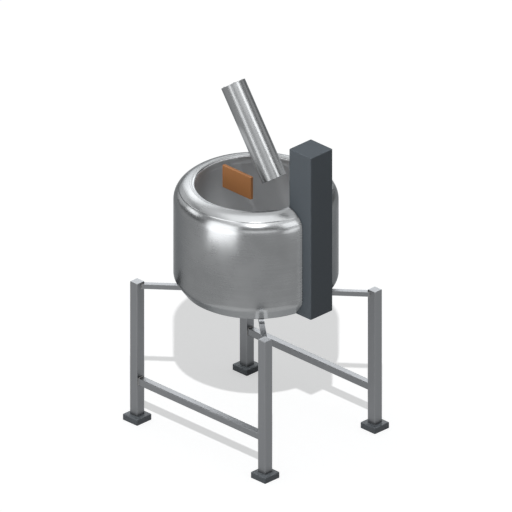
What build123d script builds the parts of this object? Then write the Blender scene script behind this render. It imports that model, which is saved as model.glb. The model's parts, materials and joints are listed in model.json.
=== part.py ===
from build123d import *
import math
import os

# Ganache mixer: a heated kettle on a four-legged stand, with an anchor agitator driven from below,
# a control column at its side and an emulsifying head on a boom over the opening.
# Millimetres. Origin on the floor under the kettle's axis, +X towards the column, -Y to the front, +Z up.

# Clearances, and the length by which a cut runs past what it cuts
FIT = 0.05
GAP = 0.3
SLIDE_FIT = 0.1
OVER = 1.0

# Stand
LEG_SIDE = 40.0
LEG_WALL = 3.0
LEG_EDGE = 2.5
LEG_BEVEL = 1.5
LEG_OUT_X = 30.0
LEG_IN_Y = 20.0
STAND_TOP = 600.0
FOOT_SIDE = 80.0
FOOT_HEIGHT = 25.0
FOOT_EDGE = 4.0
SPIGOT_HEIGHT = 30.0
RAIL_SIDE = 30.0
RAIL_WALL = 2.5
RAIL_EDGE = 4.0
RAIL_HEIGHT = 175.0
CRADLE_INSET = 12.0
CRADLE_PLATE = 8.0
CRADLE_HOLE_R = 38.0
ARM_BAR = 20.0
ARM_START_R = 135.0

# Kettle: the bowl's radius leads, and the jacket, the column and the stand keep their distances from it
BOWL_R = 236.0
BOWL_WALL = 3.0
BOWL_TOP = 1030.0
JACKET_SPACE = 84.0
CHAMFER_WIDTH = 36.0
CHAMFER_HEIGHT = 50.0
CHAMFER_ROUND = 40.0
SHELL = 3.0
FLANGE_WIDTH = 22.0
RIM_STEP = 6.0
SHOULDER_TOP = 1039.0
DISH_R = 400.0
DISH_LOW = 645.0
KNUCKLE_R = 40.0
BEAD_R = 14.0
BEAD_RISE = 3.0
LAGGING = 20.0
LAGGING_LOW = 665.0
HEATER_R = 6.0
HEATER_INSETS = (126.0, 48.0)

# Column
COLUMN_IN = 20.0
COLUMN_SIDE = 120.0
COLUMN_EDGE = 5.0
COLUMN_TOP_EDGE = 3.0
COLUMN_TOP = 1300.0
COLUMN_WALL = 3.0
COLUMN_BASE = 6.0
PANEL_WIDTH = 96.0
PANEL_LOW = 1079.0
PANEL_HIGH = 1281.0
PANEL_THICK = 3.0
PANEL_LAP = 6.0
BEZEL_R = 16.0
BEZEL_HEIGHT = 5.0
KNOB_Z = 1250.0
START_Z = 1190.0
STOP_Z = 1125.0
BUTTON_R = 11.0
BUTTON_PROUD = 12.0
BUTTON_COLLAR = 2.0
STOP_HEAD_R = 17.0
STOP_HEAD = 8.0
STOP_PROUD = 14.0
KNOB_R = 16.0
KNOB_SHAFT_R = 4.0
KNOB_HEIGHT = 17.0
KNOB_SKIRT = 4.0
KNOB_FLUTES = 12
FLUTE_R = 3.0
FLUTE_OUT = 2.0
MARK_WIDTH = 2.0
MARK_DEPTH = 2.0
CONTROLLER = (80.0, 70.0, 180.0)
CONTROLLER_LOW = 700.0
FIN_COUNT = 6
FIN_DEPTH = 12.0
FIN_SLOT = 6.0
GLAND_R = 10.0
GLAND_NUT_R = 13.0
GLAND_DROP = 24.0

# Agitator and its neck
AGITATOR_REST = 20.0
SHAFT_R = 15.0
SHAFT_BEVEL = 1.0
NECK_R = 34.0
NECK_TOP = 668.0
NECK_FLANGE_R = 55.0
NECK_FLANGE = 6.0
BEARING_R = 26.0
BEARING_WIDTH = 12.0
BEARING_LOWS = (612.0, 636.0)
SHIELD_WIDTH = 4.0
SHIELD_DEPTH = 1.0
SEAL_LOW = 654.0
SEAL_WIDTH = 8.0
SEAL_LIP = 2.0
SEAL_CASE = 3.0
HUB_R = 46.0
HUB_LOW = 674.0
HUB_SKIRT = 16.0
HUB_TOP_R = 24.0
HUB_TOP = 748.0
HUB_WAIST = 4.0
STUD_R = 8.0
NUT_R = 15.0
NUT_HEIGHT = 10.0
NUT_DOME_STEP = 3.0
ANCHOR_INSET = 10.0
ANCHOR_BAND = 34.0
ANCHOR_THICK = 12.0
WING_RISE = 63.0
BLADE_INSET = 1.0
BLADE_BAND = 21.0
BLADE_THICK = 8.0
BLADE_START_R = 60.0
BLADE_DROP = 12.0

# Drive under the kettle
MODULE = 2.5
GEAR_TEETH = 48
PINION_TEETH = 16
PRESSURE_ANGLE = math.radians(20.0)
BACKLASH = 0.3
DEDENDUM = 1.25
FLANK_STEPS = 3
GEAR_WIDTH = 16.0
GEAR_BOSS_R = 25.5
GEAR_BOSS = 6.0
WEB_HOLES = 6
WEB_HOLE_R = 9.0
WEB_CIRCLE_R = 39.0
PINION_LAP = 1.0
GEAR_LOW = 558.0
DRIVE_ANGLE = 135.0
MOTOR_SHAFT_R = 8.0
BOX_CLEAR = 3.0
BOX_WALL = 5.0
BOX_LOW = 548.0
BOX_ROOF = 8.0
BOX_COVER = 6.0
MOTOR_R = 39.0
MOTOR_FLANGE_R = 44.0
MOTOR_FLANGE = 8.0
MOTOR_LENGTH = 102.0
COWL_R = 42.0
COWL_LENGTH = 28.0
RIB_COUNT = 8
RIB_DEPTH = 3.0

# Outlet
OUTLET_INSET = 86.0
OUTLET_R = 25.0
PIPE_WALL = 3.0
PIPE_LOW = 556.0
VALVE_R = 35.0
VALVE_HEIGHT = 36.0
FERRULE_R = 24.0
FERRULE_LENGTH = 38.0
FERRULE_FLANGE_R = 32.0
FERRULE_FLANGE = 6.0
STEM_R = 5.0
BOSS_R = 10.0
BOSS_REACH = 44.0
DISC_THICK = 5.0
DISC_CLEAR = 0.4
DISC_BOSS_R = 7.5
STEM_END = 4.0
LEVER_HUB_R = 11.0
LEVER_WIDTH = 12.0
LEVER_THIN = 2.0
LEVER_LENGTH = 110.0
LEVER_EDGE = 5.0

# Arms that reach over the opening: both point the same way and rise at the same slope
REACH_YAW = math.radians(-45.0)
REACH_RISE = math.radians(27.0)

# Baffle
BAFFLE_LENGTH = 156.0
BAFFLE_THICK = 14.0
BAFFLE_HEIGHT = 96.0
BAFFLE_X = -100.0
BAFFLE_Z = 1013.0
BAFFLE_BEVEL = 1.5
PAD_WIDTH = 50.0
PAD_HEIGHT = 70.0
PAD_THICK = 5.0
BAFFLE_ROD_R = 8.0
BAFFLE_ROD_SHORT = 8.0
SOCKET_R = 14.0
SOCKET_DEPTH = 20.0

# Head: a cylinder that leans in the XZ plane, its lower end at HEAD_FOOT
HEAD_LEAN = 0.6
HEAD_FOOT = (100.0, 0.0, 1100.0)
HEAD_LENGTH = 400.0
HEAD_R = 50.0
HEAD_WALL = 2.0
GRIP = 145.0
HEAD_CAP = 6.0
RAIL_NECK = 6.0
RAIL_HEAD = 6.0
RAIL_NECK_HALF = 6.0
RAIL_HEAD_HALF = 12.0
RAIL_BELOW = 30.0
RAIL_ABOVE = 180.0
CARRIAGE_CLEAR = 2.0
CARRIAGE_DEPTH = 24.0
CARRIAGE_HALF = 24.0
CARRIAGE_FAR = 17.0
CARRIAGE_HALF_LENGTH = 26.0
CARRIAGE_EDGE = 5.0
KNUCKLE_REACH = 115.0
WEB_NEAR = 13.0
WEB_FAR = 5.0
WEB_HALF_HEIGHT = 11.0
BARREL_R = 14.0
BARREL_HALF = 22.0
PIN_R = 6.0
EAR_R = 18.0
EAR_THICK = 8.0
BRIDGE_START = 18.0
BRIDGE = 14.0
PIN_HEAD_R = 9.0
PIN_HEAD = 4.0
TILT_KNOB_R = 12.0
TILT_KNOB = 13.0
SLIDE_KNOB_R = 11.0
SLIDE_KNOB = 14.0
SLIDE_SHANK_R = 4.0
GRIP_FLUTES = 6
BOOM_R = 13.0
POST_OUT = 29.5
POST_R = 15.0
POST_LOW = 925.0
BRACKET_LOW = 930.0
BRACKET_HIGH = 998.0
BRACKET_HALF = 30.0
BRACKET_BACK = 22.0
SADDLE_HALF = 52.0
SADDLE_THICK = 4.0

# Inside the head, heights measured from the head's lower end
HEAD_SHAFT_R = 7.0
HEAD_MOTOR_R = 42.0
HEAD_MOTOR_SPAN = 165.0
HEAD_MOTOR_UNDER = 20.0
SEAL_PLATE_LOW = 40.0
SEAL_PLATE = 10.0
SLEEVE_R = 14.0
SKIRT_R = 36.0
SKIRT_WALL = 3.0
SLOT_COUNT = 12
SLOT_WIDTH = 5.0
SLOT_HEIGHT = 26.0
SLOT_LOW = 6.0
ROTOR_HUB_R = 10.0
ROTOR_LOW = 4.0
ROTOR_HEIGHT = 28.0
VANE_COUNT = 4
VANE_THICK = 3.0
VANE_STEP = 2.0
VANE_MIDDLE = (20.0, 2.5)
VANE_TIP = (29.0, 10.0)


def reach_to(point, direction, radius):
    """How far along a direction a point comes to a radius from the Z axis."""
    square = direction.X ** 2 + direction.Y ** 2
    along = point.X * direction.X + point.Y * direction.Y
    over = point.X ** 2 + point.Y ** 2 - radius ** 2
    return (math.sqrt(along ** 2 - square * over) - along) / square


# Worked out from the sizes above
KETTLE_R = BOWL_R + JACKET_SPACE
BASE_R = KETTLE_R - CHAMFER_WIDTH
CRADLE_R = BASE_R - CRADLE_INSET
SHOULDER_X = BOWL_R + BEAD_R + RIM_STEP
SHOULDER_R = KETTLE_R - SHOULDER_X
SHOULDER_Z = SHOULDER_TOP - SHOULDER_R
LEG_X = KETTLE_R + LEG_OUT_X
LEG_Y = KETTLE_R - LEG_IN_Y
COLUMN_X = KETTLE_R - COLUMN_IN
OUTLET_X = OUTLET_INSET - BOWL_R
WING_TOP = DISH_LOW + DISH_R - math.sqrt(DISH_R ** 2 - BOWL_R ** 2) + WING_RISE
HEAD_MOTOR_HIGH = HEAD_LENGTH - HEAD_MOTOR_UNDER
HEAD_MOTOR_LOW = HEAD_MOTOR_HIGH - HEAD_MOTOR_SPAN
GEAR_R = MODULE * GEAR_TEETH / 2
PINION_R = MODULE * PINION_TEETH / 2
CRADLE_LOW = STAND_TOP - CRADLE_PLATE
BOX_TOP = CRADLE_LOW
MOTOR_TOP = BOX_LOW - BOX_COVER
COLUMN_FACE = COLUMN_X - COLUMN_SIDE / 2
COLUMN_BACK = COLUMN_SIDE / 2
POCKET_HALF = COLUMN_SIDE / 2 + GAP
VALVE_LOW = PIPE_LOW - VALVE_HEIGHT
VALVE_MID = (PIPE_LOW + VALVE_LOW) / 2
LEAN = Vector(-math.sin(HEAD_LEAN), 0, math.cos(HEAD_LEAN))
REACH = Vector(
    math.cos(REACH_RISE) * math.cos(REACH_YAW),
    math.cos(REACH_RISE) * math.sin(REACH_YAW),
    math.sin(REACH_RISE),
)
BACK = (REACH * -1 + LEAN * REACH.dot(LEAN)).normalized()
GRIP_POINT = Vector(*HEAD_FOOT) + LEAN * GRIP
HEAD_PLANE = Plane(origin=GRIP_POINT, x_dir=BACK, z_dir=LEAN)
KNUCKLE = GRIP_POINT + BACK * KNUCKLE_REACH
BOOM_LENGTH = reach_to(KNUCKLE, BACK, KETTLE_R + POST_OUT)
POST = KNUCKLE + BACK * BOOM_LENGTH
BAFFLE_BACK = Vector(BAFFLE_X, BAFFLE_THICK / 2, BAFFLE_Z)
BAFFLE_ROD = reach_to(BAFFLE_BACK, REACH * -1, BOWL_R) - BAFFLE_ROD_SHORT
HEAD_LOW = -GRIP
HEAD_HIGH = HEAD_LENGTH - GRIP
RAIL_OUTER = HEAD_R + RAIL_NECK + RAIL_HEAD


def slab(x, y, z):
    """A box between three pairs of limits."""
    middle = Pos((x[0] + x[1]) / 2, (y[0] + y[1]) / 2, (z[0] + z[1]) / 2)
    return middle * Box(x[1] - x[0], y[1] - y[0], z[1] - z[0])


def disc(radius, low, high):
    """A cylinder about the Z axis between two heights."""
    return Pos(0, 0, (low + high) / 2) * Cylinder(radius, high - low)


def ring(inner, outer, low, high):
    """A tube about the Z axis between two heights."""
    return disc(outer, low, high) - disc(inner, low, high)


def turned(face):
    """The solid that a half section, drawn as radius and height, sweeps about the Z axis."""
    return revolve(Plane.XZ * face, Axis.Z)


def outline(*points):
    """A closed face with straight sides."""
    return make_face(Polyline(*points, close=True))


def cross_bar(radius, low, high):
    """A cylinder along Y between two values of Y."""
    return Pos(0, (low + high) / 2, 0) * Rot(90, 0, 0) * Cylinder(radius, high - low)


def rod(start, direction, radius, low, high):
    """A cylinder along a direction, between two distances from a point."""
    place = Plane(origin=start, z_dir=direction).location
    return place * disc(radius, low, high)


def square_post(side, edge, low, high):
    """An upright square bar with rounded corners."""
    bar = slab((-side / 2, side / 2), (-side / 2, side / 2), (low, high))
    return fillet(bar.edges().filter_by(Axis.Z), edge)


def fluted(knob, reach, count, low, high):
    """A knob along Y with finger grooves round it, their centres at a radius."""
    flute = Pos(reach, 0, 0) * cross_bar(FLUTE_R, low, high)
    for index in range(count):
        knob -= Rot(0, index * 360 / count, 0) * flute
    return knob


def hexagon(radius, low, high):
    """A six-sided bar, its corners at the radius."""
    return Pos(0, 0, low) * extrude(RegularPolygon(radius, 6), high - low)


# Stand
def leg(x, y):
    outer = square_post(LEG_SIDE, LEG_EDGE, FOOT_HEIGHT, STAND_TOP)
    outer = chamfer(outer.faces().sort_by(Axis.Z)[-1].edges(), LEG_BEVEL)
    half = LEG_SIDE / 2 - LEG_WALL
    inner = slab((-half, half), (-half, half), (FOOT_HEIGHT, STAND_TOP - LEG_WALL))
    return Pos(x, y, 0) * (outer - inner)


def foot(x, y):
    block = square_post(FOOT_SIDE, FOOT_EDGE, 0, FOOT_HEIGHT)
    block = fillet(block.faces().sort_by(Axis.Z)[-1].edges(), FOOT_EDGE)
    side = LEG_SIDE - 2 * LEG_WALL - 2 * GAP
    spigot = square_post(side, LEG_EDGE, FOOT_HEIGHT, FOOT_HEIGHT + SPIGOT_HEIGHT)
    spigot = chamfer(spigot.faces().sort_by(Axis.Z)[-1].edges(), LEG_BEVEL)
    return Pos(x, y, 0) * (block + spigot)


def rail(y):
    half = RAIL_SIDE / 2
    reach = LEG_X - LEG_SIDE / 2
    outer = slab((-reach, reach), (-half, half), (-half, half))
    outer = fillet(outer.edges().filter_by(Axis.X), RAIL_EDGE)
    bore = half - RAIL_WALL
    inner = slab((-reach, reach), (-bore, bore), (-bore, bore))
    return Pos(0, y, RAIL_HEIGHT) * (outer - inner)


def cradle():
    plate = disc(CRADLE_R, CRADLE_LOW, STAND_TOP)
    plate -= disc(CRADLE_HOLE_R, CRADLE_LOW, STAND_TOP)
    plate -= Pos(OUTLET_X, 0, 0) * disc(OUTLET_R + PIPE_WALL + GAP, CRADLE_LOW, STAND_TOP)
    reach = math.hypot(LEG_X, LEG_Y)
    half = ARM_BAR / 2
    for x, y in LEG_PLACES:
        turn = math.degrees(math.atan2(y, x))
        bar = Rot(0, 0, turn) * slab((ARM_START_R, reach), (-half, half), (CRADLE_LOW - ARM_BAR, CRADLE_LOW))
        side = LEG_SIDE / 2
        bar -= slab((x - side, x + side), (y - side, y + side), (CRADLE_LOW - ARM_BAR, STAND_TOP))
        plate += bar.solids().sort_by(SortBy.VOLUME)[-1]
    return plate


# Kettle
def bowl_section(inset, top):
    """Half section of the bowl's inside, drawn in from the wall and the dish by an inset."""
    wall = BOWL_R - inset
    dish = DISH_R - inset
    middle = DISH_LOW + DISH_R
    turn = math.asin(wall / dish)
    corner = (wall, middle - dish * math.cos(turn))
    halfway = (dish * math.sin(turn / 2), middle - dish * math.cos(turn / 2))
    low = (0, middle - dish)
    edges = [
        ThreePointArc(low, halfway, corner),
        Line(corner, (wall, top)),
        Line((wall, top), (0, top)),
        Line((0, top), low),
    ]
    face = make_face(edges)
    knuckle = KNUCKLE_R - inset
    if knuckle > 0:
        near = face.vertices().sort_by_distance(Vector(corner[0], corner[1], 0))[0]
        face = fillet(near, knuckle)
    return face


def inner_bowl():
    shell = turned(bowl_section(-BOWL_WALL, BOWL_TOP)) - turned(bowl_section(0, BOWL_TOP))
    shell -= disc(NECK_R + FIT, STAND_TOP, NECK_TOP)
    shell -= Pos(OUTLET_X, 0, 0) * disc(OUTLET_R, STAND_TOP, DISH_LOW + KNUCKLE_R)
    return shell


def jacket_form(inset):
    """The kettle's outer form below the rim, drawn in by an inset."""
    slope = math.atan2(CHAMFER_HEIGHT, KETTLE_R - BASE_R)
    low = STAND_TOP + inset
    base = BASE_R - inset * math.tan(slope / 2)
    shoulder = STAND_TOP + CHAMFER_HEIGHT + inset * math.tan((math.pi / 2 - slope) / 2)
    wall = KETTLE_R - inset
    face = outline((0, low), (base, low), (wall, shoulder), (wall, SHOULDER_Z), (0, SHOULDER_Z))
    corner = face.vertices().sort_by_distance(Vector(wall, shoulder, 0))[0]
    return turned(fillet(corner, CHAMFER_ROUND - inset))


def pocket(margin):
    """The space of the column in the kettle's wall, from the axis outwards."""
    half = POCKET_HALF + margin
    return slab((0, KETTLE_R + SHELL), (-half, half), (STAND_TOP, COLUMN_TOP))


def outer_jacket():
    cavity = jacket_form(SHELL) - pocket(SHELL)
    jacket = jacket_form(0) - cavity - pocket(0)
    jacket -= disc(BOWL_R + BOWL_WALL + GAP, STAND_TOP, SHOULDER_Z)
    jacket -= disc(BASE_R - FLANGE_WIDTH, STAND_TOP, STAND_TOP + SHELL)
    return jacket


def bottom_cover():
    cover = disc(BASE_R - FLANGE_WIDTH - GAP, STAND_TOP, STAND_TOP + SHELL)
    cover -= disc(SHAFT_R + BOX_WALL, STAND_TOP, STAND_TOP + SHELL)
    cover -= Pos(OUTLET_X, 0, 0) * disc(OUTLET_R + PIPE_WALL + GAP, STAND_TOP, STAND_TOP + SHELL)
    half = POCKET_HALF
    return cover - slab((COLUMN_FACE - GAP, KETTLE_R), (-half, half), (STAND_TOP, STAND_TOP + SHELL))


def rim_ring():
    """A formed rim: a quarter-round shoulder and a bead over the bowl's edge."""
    shoulder_x = SHOULDER_X
    bead_x = BOWL_R + BEAD_R
    bead_z = BOWL_TOP + BEAD_RISE
    shoulder = Pos(shoulder_x, SHOULDER_Z) * Circle(SHOULDER_R)
    bead = Pos(bead_x, bead_z) * Circle(BEAD_R)
    keep_out = Pos(KETTLE_R / 2, SHOULDER_Z / 2) * Rectangle(KETTLE_R, SHOULDER_Z)
    left = Pos(shoulder_x / 2, SHOULDER_Z) * Rectangle(shoulder_x, SHOULDER_Z)
    outer = shoulder - keep_out - left
    filler = outline((bead_x, BOWL_TOP), (shoulder_x + BEAD_R, BOWL_TOP),
                     (shoulder_x + BEAD_R, bead_z), (bead_x, bead_z))
    outer = outer + bead + filler
    outer = outer + outline((BOWL_R, BOWL_TOP), (bead_x, BOWL_TOP), (bead_x, bead_z), (BOWL_R, bead_z))
    inner_bead = Pos(bead_x, bead_z) * Circle(BEAD_R - SHELL)
    inner_shoulder = Pos(shoulder_x, SHOULDER_Z) * Circle(SHOULDER_R - SHELL)
    hollow = inner_shoulder + inner_bead
    hollow = hollow + outline((BOWL_R + SHELL, SHOULDER_Z), (shoulder_x, SHOULDER_Z),
                              (shoulder_x, bead_z), (BOWL_R + SHELL, bead_z))
    low_cut = outline((0, 0), (shoulder_x, 0), (shoulder_x, BOWL_TOP), (0, BOWL_TOP))
    section = outer - hollow - low_cut
    section = max(section.faces(), key=lambda face: face.area)
    half = POCKET_HALF
    return turned(section) - slab((COLUMN_FACE - GAP, KETTLE_R), (-half, half), (SHOULDER_Z, COLUMN_TOP))


def insulation_sleeve():
    outer = KETTLE_R - SHELL - GAP
    return ring(outer - LAGGING, outer, LAGGING_LOW, SHOULDER_Z) - pocket(SHELL + GAP)


def heater_rings():
    seat = DISH_R + BOWL_WALL + GAP + HEATER_R
    rings = []
    for inset in HEATER_INSETS:
        radius = BOWL_R - inset
        height = DISH_LOW + DISH_R - math.sqrt(seat ** 2 - radius ** 2)
        rings.append((Pos(0, 0, height) * Torus(radius, HEATER_R)).solid())
    return Compound(rings)


# Column
def column_shell():
    low = STAND_TOP
    shell = square_post(COLUMN_SIDE, COLUMN_EDGE, low, COLUMN_TOP)
    shell = fillet(shell.faces().sort_by(Axis.Z)[-1].edges(), COLUMN_TOP_EDGE)
    side = COLUMN_SIDE - 2 * COLUMN_WALL
    shell -= square_post(side, COLUMN_EDGE - COLUMN_WALL, low, COLUMN_TOP - COLUMN_WALL)
    half = PANEL_WIDTH / 2 - PANEL_LAP
    window = slab((-half, half), (0, COLUMN_SIDE), (PANEL_LOW + PANEL_LAP, PANEL_HIGH - PANEL_LAP))
    return Pos(COLUMN_X, 0, 0) * (shell - window)


def column_base():
    side = COLUMN_SIDE - 2 * COLUMN_WALL - 2 * GAP
    plate = square_post(side, COLUMN_EDGE - COLUMN_WALL, STAND_TOP, STAND_TOP + COLUMN_BASE)
    return Pos(COLUMN_X, 0, 0) * (plate - disc(GLAND_R + GAP, STAND_TOP, STAND_TOP + COLUMN_BASE))


def control_panel():
    half = PANEL_WIDTH / 2
    face = COLUMN_BACK + PANEL_THICK
    panel = slab((-half, half), (COLUMN_BACK, face), (PANEL_LOW, PANEL_HIGH))
    panel = fillet(panel.edges().filter_by(Axis.Y), PANEL_LAP)
    for height, radius in ((START_Z, BUTTON_R + GAP), (STOP_Z, BUTTON_R + GAP)):
        panel += Pos(0, 0, height) * cross_bar(BEZEL_R, face, face + BEZEL_HEIGHT)
        panel -= Pos(0, 0, height) * cross_bar(radius, COLUMN_BACK, face + BEZEL_HEIGHT)
    panel -= Pos(0, 0, KNOB_Z) * cross_bar(KNOB_SHAFT_R + FIT, COLUMN_BACK, face)
    return Pos(COLUMN_X, 0, 0) * panel


def button(height, proud, head_r, head):
    """A push button: stem, head, and the collar that holds it behind the panel."""
    face = COLUMN_BACK + PANEL_THICK + proud
    body = cross_bar(BUTTON_R, COLUMN_BACK - BUTTON_PROUD, face)
    body += cross_bar(BUTTON_R + BUTTON_COLLAR, COLUMN_BACK - BUTTON_PROUD, COLUMN_BACK - GAP)
    if head:
        body += cross_bar(head_r, face - head / 2, face + head / 2)
    body = fillet(body.faces().sort_by(Axis.Y)[-1].edges(), PANEL_THICK / 2)
    return Pos(COLUMN_X, 0, height) * body


def speed_knob():
    face = COLUMN_BACK + PANEL_THICK + GAP
    knob = cross_bar(KNOB_R, face, face + KNOB_HEIGHT)
    knob = chamfer(knob.faces().sort_by(Axis.Y)[-1].edges(), PANEL_THICK / 2)
    top = face + KNOB_HEIGHT
    notch = slab((-MARK_WIDTH / 2, MARK_WIDTH / 2), (top - MARK_DEPTH, top), (KNOB_R / 2, KNOB_R))
    knob = fluted(knob, KNOB_R + FLUTE_OUT, KNOB_FLUTES, face + KNOB_SKIRT, top)
    knob += cross_bar(KNOB_SHAFT_R, COLUMN_BACK - BUTTON_PROUD, face)
    return Pos(COLUMN_X, 0, KNOB_Z) * (knob - notch)


def drive_controller():
    depth, width, height = CONTROLLER
    wall = COLUMN_FACE + COLUMN_WALL
    box = slab((wall, wall + depth), (-width / 2, width / 2), (CONTROLLER_LOW, CONTROLLER_LOW + height))
    for index in range(FIN_COUNT):
        side = -width / 2 + (index + 1 / 2) * width / FIN_COUNT
        box -= slab((wall + depth - FIN_DEPTH, wall + depth), (side - FIN_SLOT / 2, side + FIN_SLOT / 2),
                    (CONTROLLER_LOW, CONTROLLER_LOW + height))
    return box


def cable_gland():
    low = STAND_TOP
    gland = disc(GLAND_R, low - GLAND_DROP / 2, low + COLUMN_BASE * 2)
    gland += hexagon(GLAND_NUT_R, low - GLAND_DROP / 2, low)
    gland += hexagon(GLAND_NUT_R, low + COLUMN_BASE, low + COLUMN_BASE * 2)
    dome = disc(GLAND_R, low - GLAND_DROP, low - GLAND_DROP / 2)
    gland += chamfer(dome.faces().sort_by(Axis.Z)[0].edges(), GLAND_R / 3)
    gland -= disc(GLAND_R / 2, low - GLAND_DROP, low + COLUMN_BASE * 2)
    return Pos(COLUMN_X, 0, 0) * gland


# Agitator
def bearing_neck():
    low = STAND_TOP + SHELL
    neck = disc(NECK_R, low, NECK_TOP) + disc(NECK_FLANGE_R, low, low + NECK_FLANGE)
    neck -= disc(BEARING_R + FIT, low, SEAL_LOW + SEAL_WIDTH)
    return neck - disc(SHAFT_R + GAP, low, NECK_TOP)


def neck_bearings():
    races = []
    for low in BEARING_LOWS:
        race = ring(SHAFT_R + FIT, BEARING_R, low, low + BEARING_WIDTH)
        groove = (SHAFT_R + BEARING_R) / 2
        near = groove - SHIELD_WIDTH / 2
        far = groove + SHIELD_WIDTH / 2
        for end in (low, low + BEARING_WIDTH):
            race -= ring(near, far, end - SHIELD_DEPTH, end + SHIELD_DEPTH)
        races.append(race.solid())
    return Compound(races)


def neck_seal():
    seal = ring(SHAFT_R + FIT, BEARING_R, SEAL_LOW, SEAL_LOW + SEAL_WIDTH)
    return seal - ring(SHAFT_R + SEAL_LIP, BEARING_R - SEAL_CASE, SEAL_LOW, SEAL_LOW + SEAL_WIDTH / 2)


def agitator_shaft():
    shaft = disc(SHAFT_R, MOTOR_TOP + SHAFT_BEVEL, HUB_TOP)
    stud = disc(STUD_R, HUB_TOP, HUB_TOP + NUT_HEIGHT)
    return chamfer(shaft.faces().sort_by(Axis.Z)[0].edges(), SHAFT_BEVEL) + stud


def agitator_hub():
    bore = SHAFT_R + FIT
    shoulder = (HUB_R, HUB_LOW + HUB_SKIRT)
    tip = (HUB_TOP_R, HUB_TOP)
    waist = ((HUB_R + HUB_TOP_R) / 2 - HUB_WAIST, (shoulder[1] + tip[1]) / 2)
    edges = [
        Line((bore, HUB_LOW), (HUB_R, HUB_LOW)),
        Line((HUB_R, HUB_LOW), shoulder),
        ThreePointArc(shoulder, waist, tip),
        Line(tip, (bore, HUB_TOP)),
        Line((bore, HUB_TOP), (bore, HUB_LOW)),
    ]
    return turned(make_face(edges))


def hub_nut():
    nut = hexagon(NUT_R, HUB_TOP, HUB_TOP + NUT_HEIGHT)
    dome = Pos(0, 0, HUB_TOP + NUT_HEIGHT) * Sphere(NUT_R - NUT_DOME_STEP)
    dome = dome & disc(NUT_R, HUB_TOP + NUT_HEIGHT, HUB_TOP + NUT_HEIGHT + NUT_R)
    return nut + dome - disc(STUD_R + FIT, HUB_TOP, HUB_TOP + NUT_HEIGHT + FIT)


def band(inset, width, top):
    """A half section that follows the bowl's wall and dish at an inset."""
    return bowl_section(inset, top) - bowl_section(inset + width, top + OVER)


def anchor_arm(turn):
    arm = extrude(Plane.XZ * band(ANCHOR_INSET, ANCHOR_BAND, WING_TOP), ANCHOR_THICK / 2, both=True)
    arm -= disc(HUB_R + FIT, DISH_LOW, WING_TOP)
    return Rot(0, 0, AGITATOR_REST + turn) * arm.solids().sort_by(SortBy.VOLUME)[-1]


def scraper_blade(turn):
    blade = extrude(Plane.XZ * band(BLADE_INSET, BLADE_BAND, WING_TOP - BLADE_DROP), BLADE_THICK / 2, both=True)
    blade = Pos(0, (ANCHOR_THICK + BLADE_THICK) / 2, 0) * blade
    blade -= disc(BLADE_START_R, DISH_LOW, WING_TOP)
    return Rot(0, 0, AGITATOR_REST + turn) * blade.solids().sort_by(SortBy.VOLUME)[-1]


# Drive
def gear_outline(teeth, phase):
    """Outline of an involute spur gear, thinned for backlash, its first tooth at the phase angle."""
    pitch = MODULE * teeth / 2
    base = pitch * math.cos(PRESSURE_ANGLE)
    tip = pitch + MODULE
    root = pitch - DEDENDUM * MODULE
    half = math.pi / (2 * teeth) - BACKLASH / (2 * pitch)
    involute = math.tan(PRESSURE_ANGLE) - PRESSURE_ANGLE
    start = max(base, root)
    points = []
    for tooth in range(teeth):
        middle = math.radians(phase) + 2 * math.pi * tooth / teeth
        flank = []
        for step in range(FLANK_STEPS + 1):
            radius = start + (tip - start) * step / FLANK_STEPS
            angle = math.acos(min(1, base / radius))
            flank.append((radius, half + involute - (math.tan(angle) - angle)))
        if root < start:
            flank.insert(0, (root, flank[0][1]))
        for radius, spread in flank:
            points.append((radius * math.cos(middle - spread), radius * math.sin(middle - spread)))
        for radius, spread in reversed(flank):
            points.append((radius * math.cos(middle + spread), radius * math.sin(middle + spread)))
    return outline(*points)


def motor_place():
    turn = math.radians(DRIVE_ANGLE)
    reach = GEAR_R + PINION_R
    return Pos(reach * math.cos(turn), reach * math.sin(turn), 0)


def box_outline(margin):
    """The gearbox's outline round both gears."""
    big = Circle(GEAR_R + MODULE + margin).edge()
    small = (motor_place() * Circle(PINION_R + MODULE + margin)).edge()
    return make_hull([big, small])


def gearbox_housing():
    box = Pos(0, 0, BOX_LOW) * extrude(box_outline(BOX_CLEAR + BOX_WALL), BOX_TOP - BOX_LOW)
    box -= Pos(0, 0, BOX_LOW) * extrude(box_outline(BOX_CLEAR), BOX_TOP - BOX_ROOF - BOX_LOW)
    box -= disc(SHAFT_R + FIT, BOX_LOW, BOX_TOP)
    return box - motor_place() * disc(MOTOR_SHAFT_R + FIT, BOX_LOW, BOX_TOP - BOX_ROOF / 2)


def gearbox_cover():
    cover = Pos(0, 0, MOTOR_TOP) * extrude(box_outline(BOX_CLEAR + BOX_WALL), BOX_COVER)
    cover -= disc(SHAFT_R + FIT, MOTOR_TOP, BOX_LOW)
    return cover - motor_place() * disc(MOTOR_SHAFT_R + FIT, MOTOR_TOP, BOX_LOW)


def drive_gear():
    gear = Pos(0, 0, GEAR_LOW) * extrude(gear_outline(GEAR_TEETH, 0), GEAR_WIDTH)
    gear += disc(GEAR_BOSS_R, GEAR_LOW - GEAR_BOSS, GEAR_LOW)
    hole = Pos(WEB_CIRCLE_R, 0, 0) * disc(WEB_HOLE_R, GEAR_LOW, GEAR_LOW + GEAR_WIDTH)
    for index in range(WEB_HOLES):
        gear -= Rot(0, 0, index * 360 / WEB_HOLES) * hole
    return gear - disc(SHAFT_R + FIT, GEAR_LOW - GEAR_BOSS, GEAR_LOW + GEAR_WIDTH)


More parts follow.
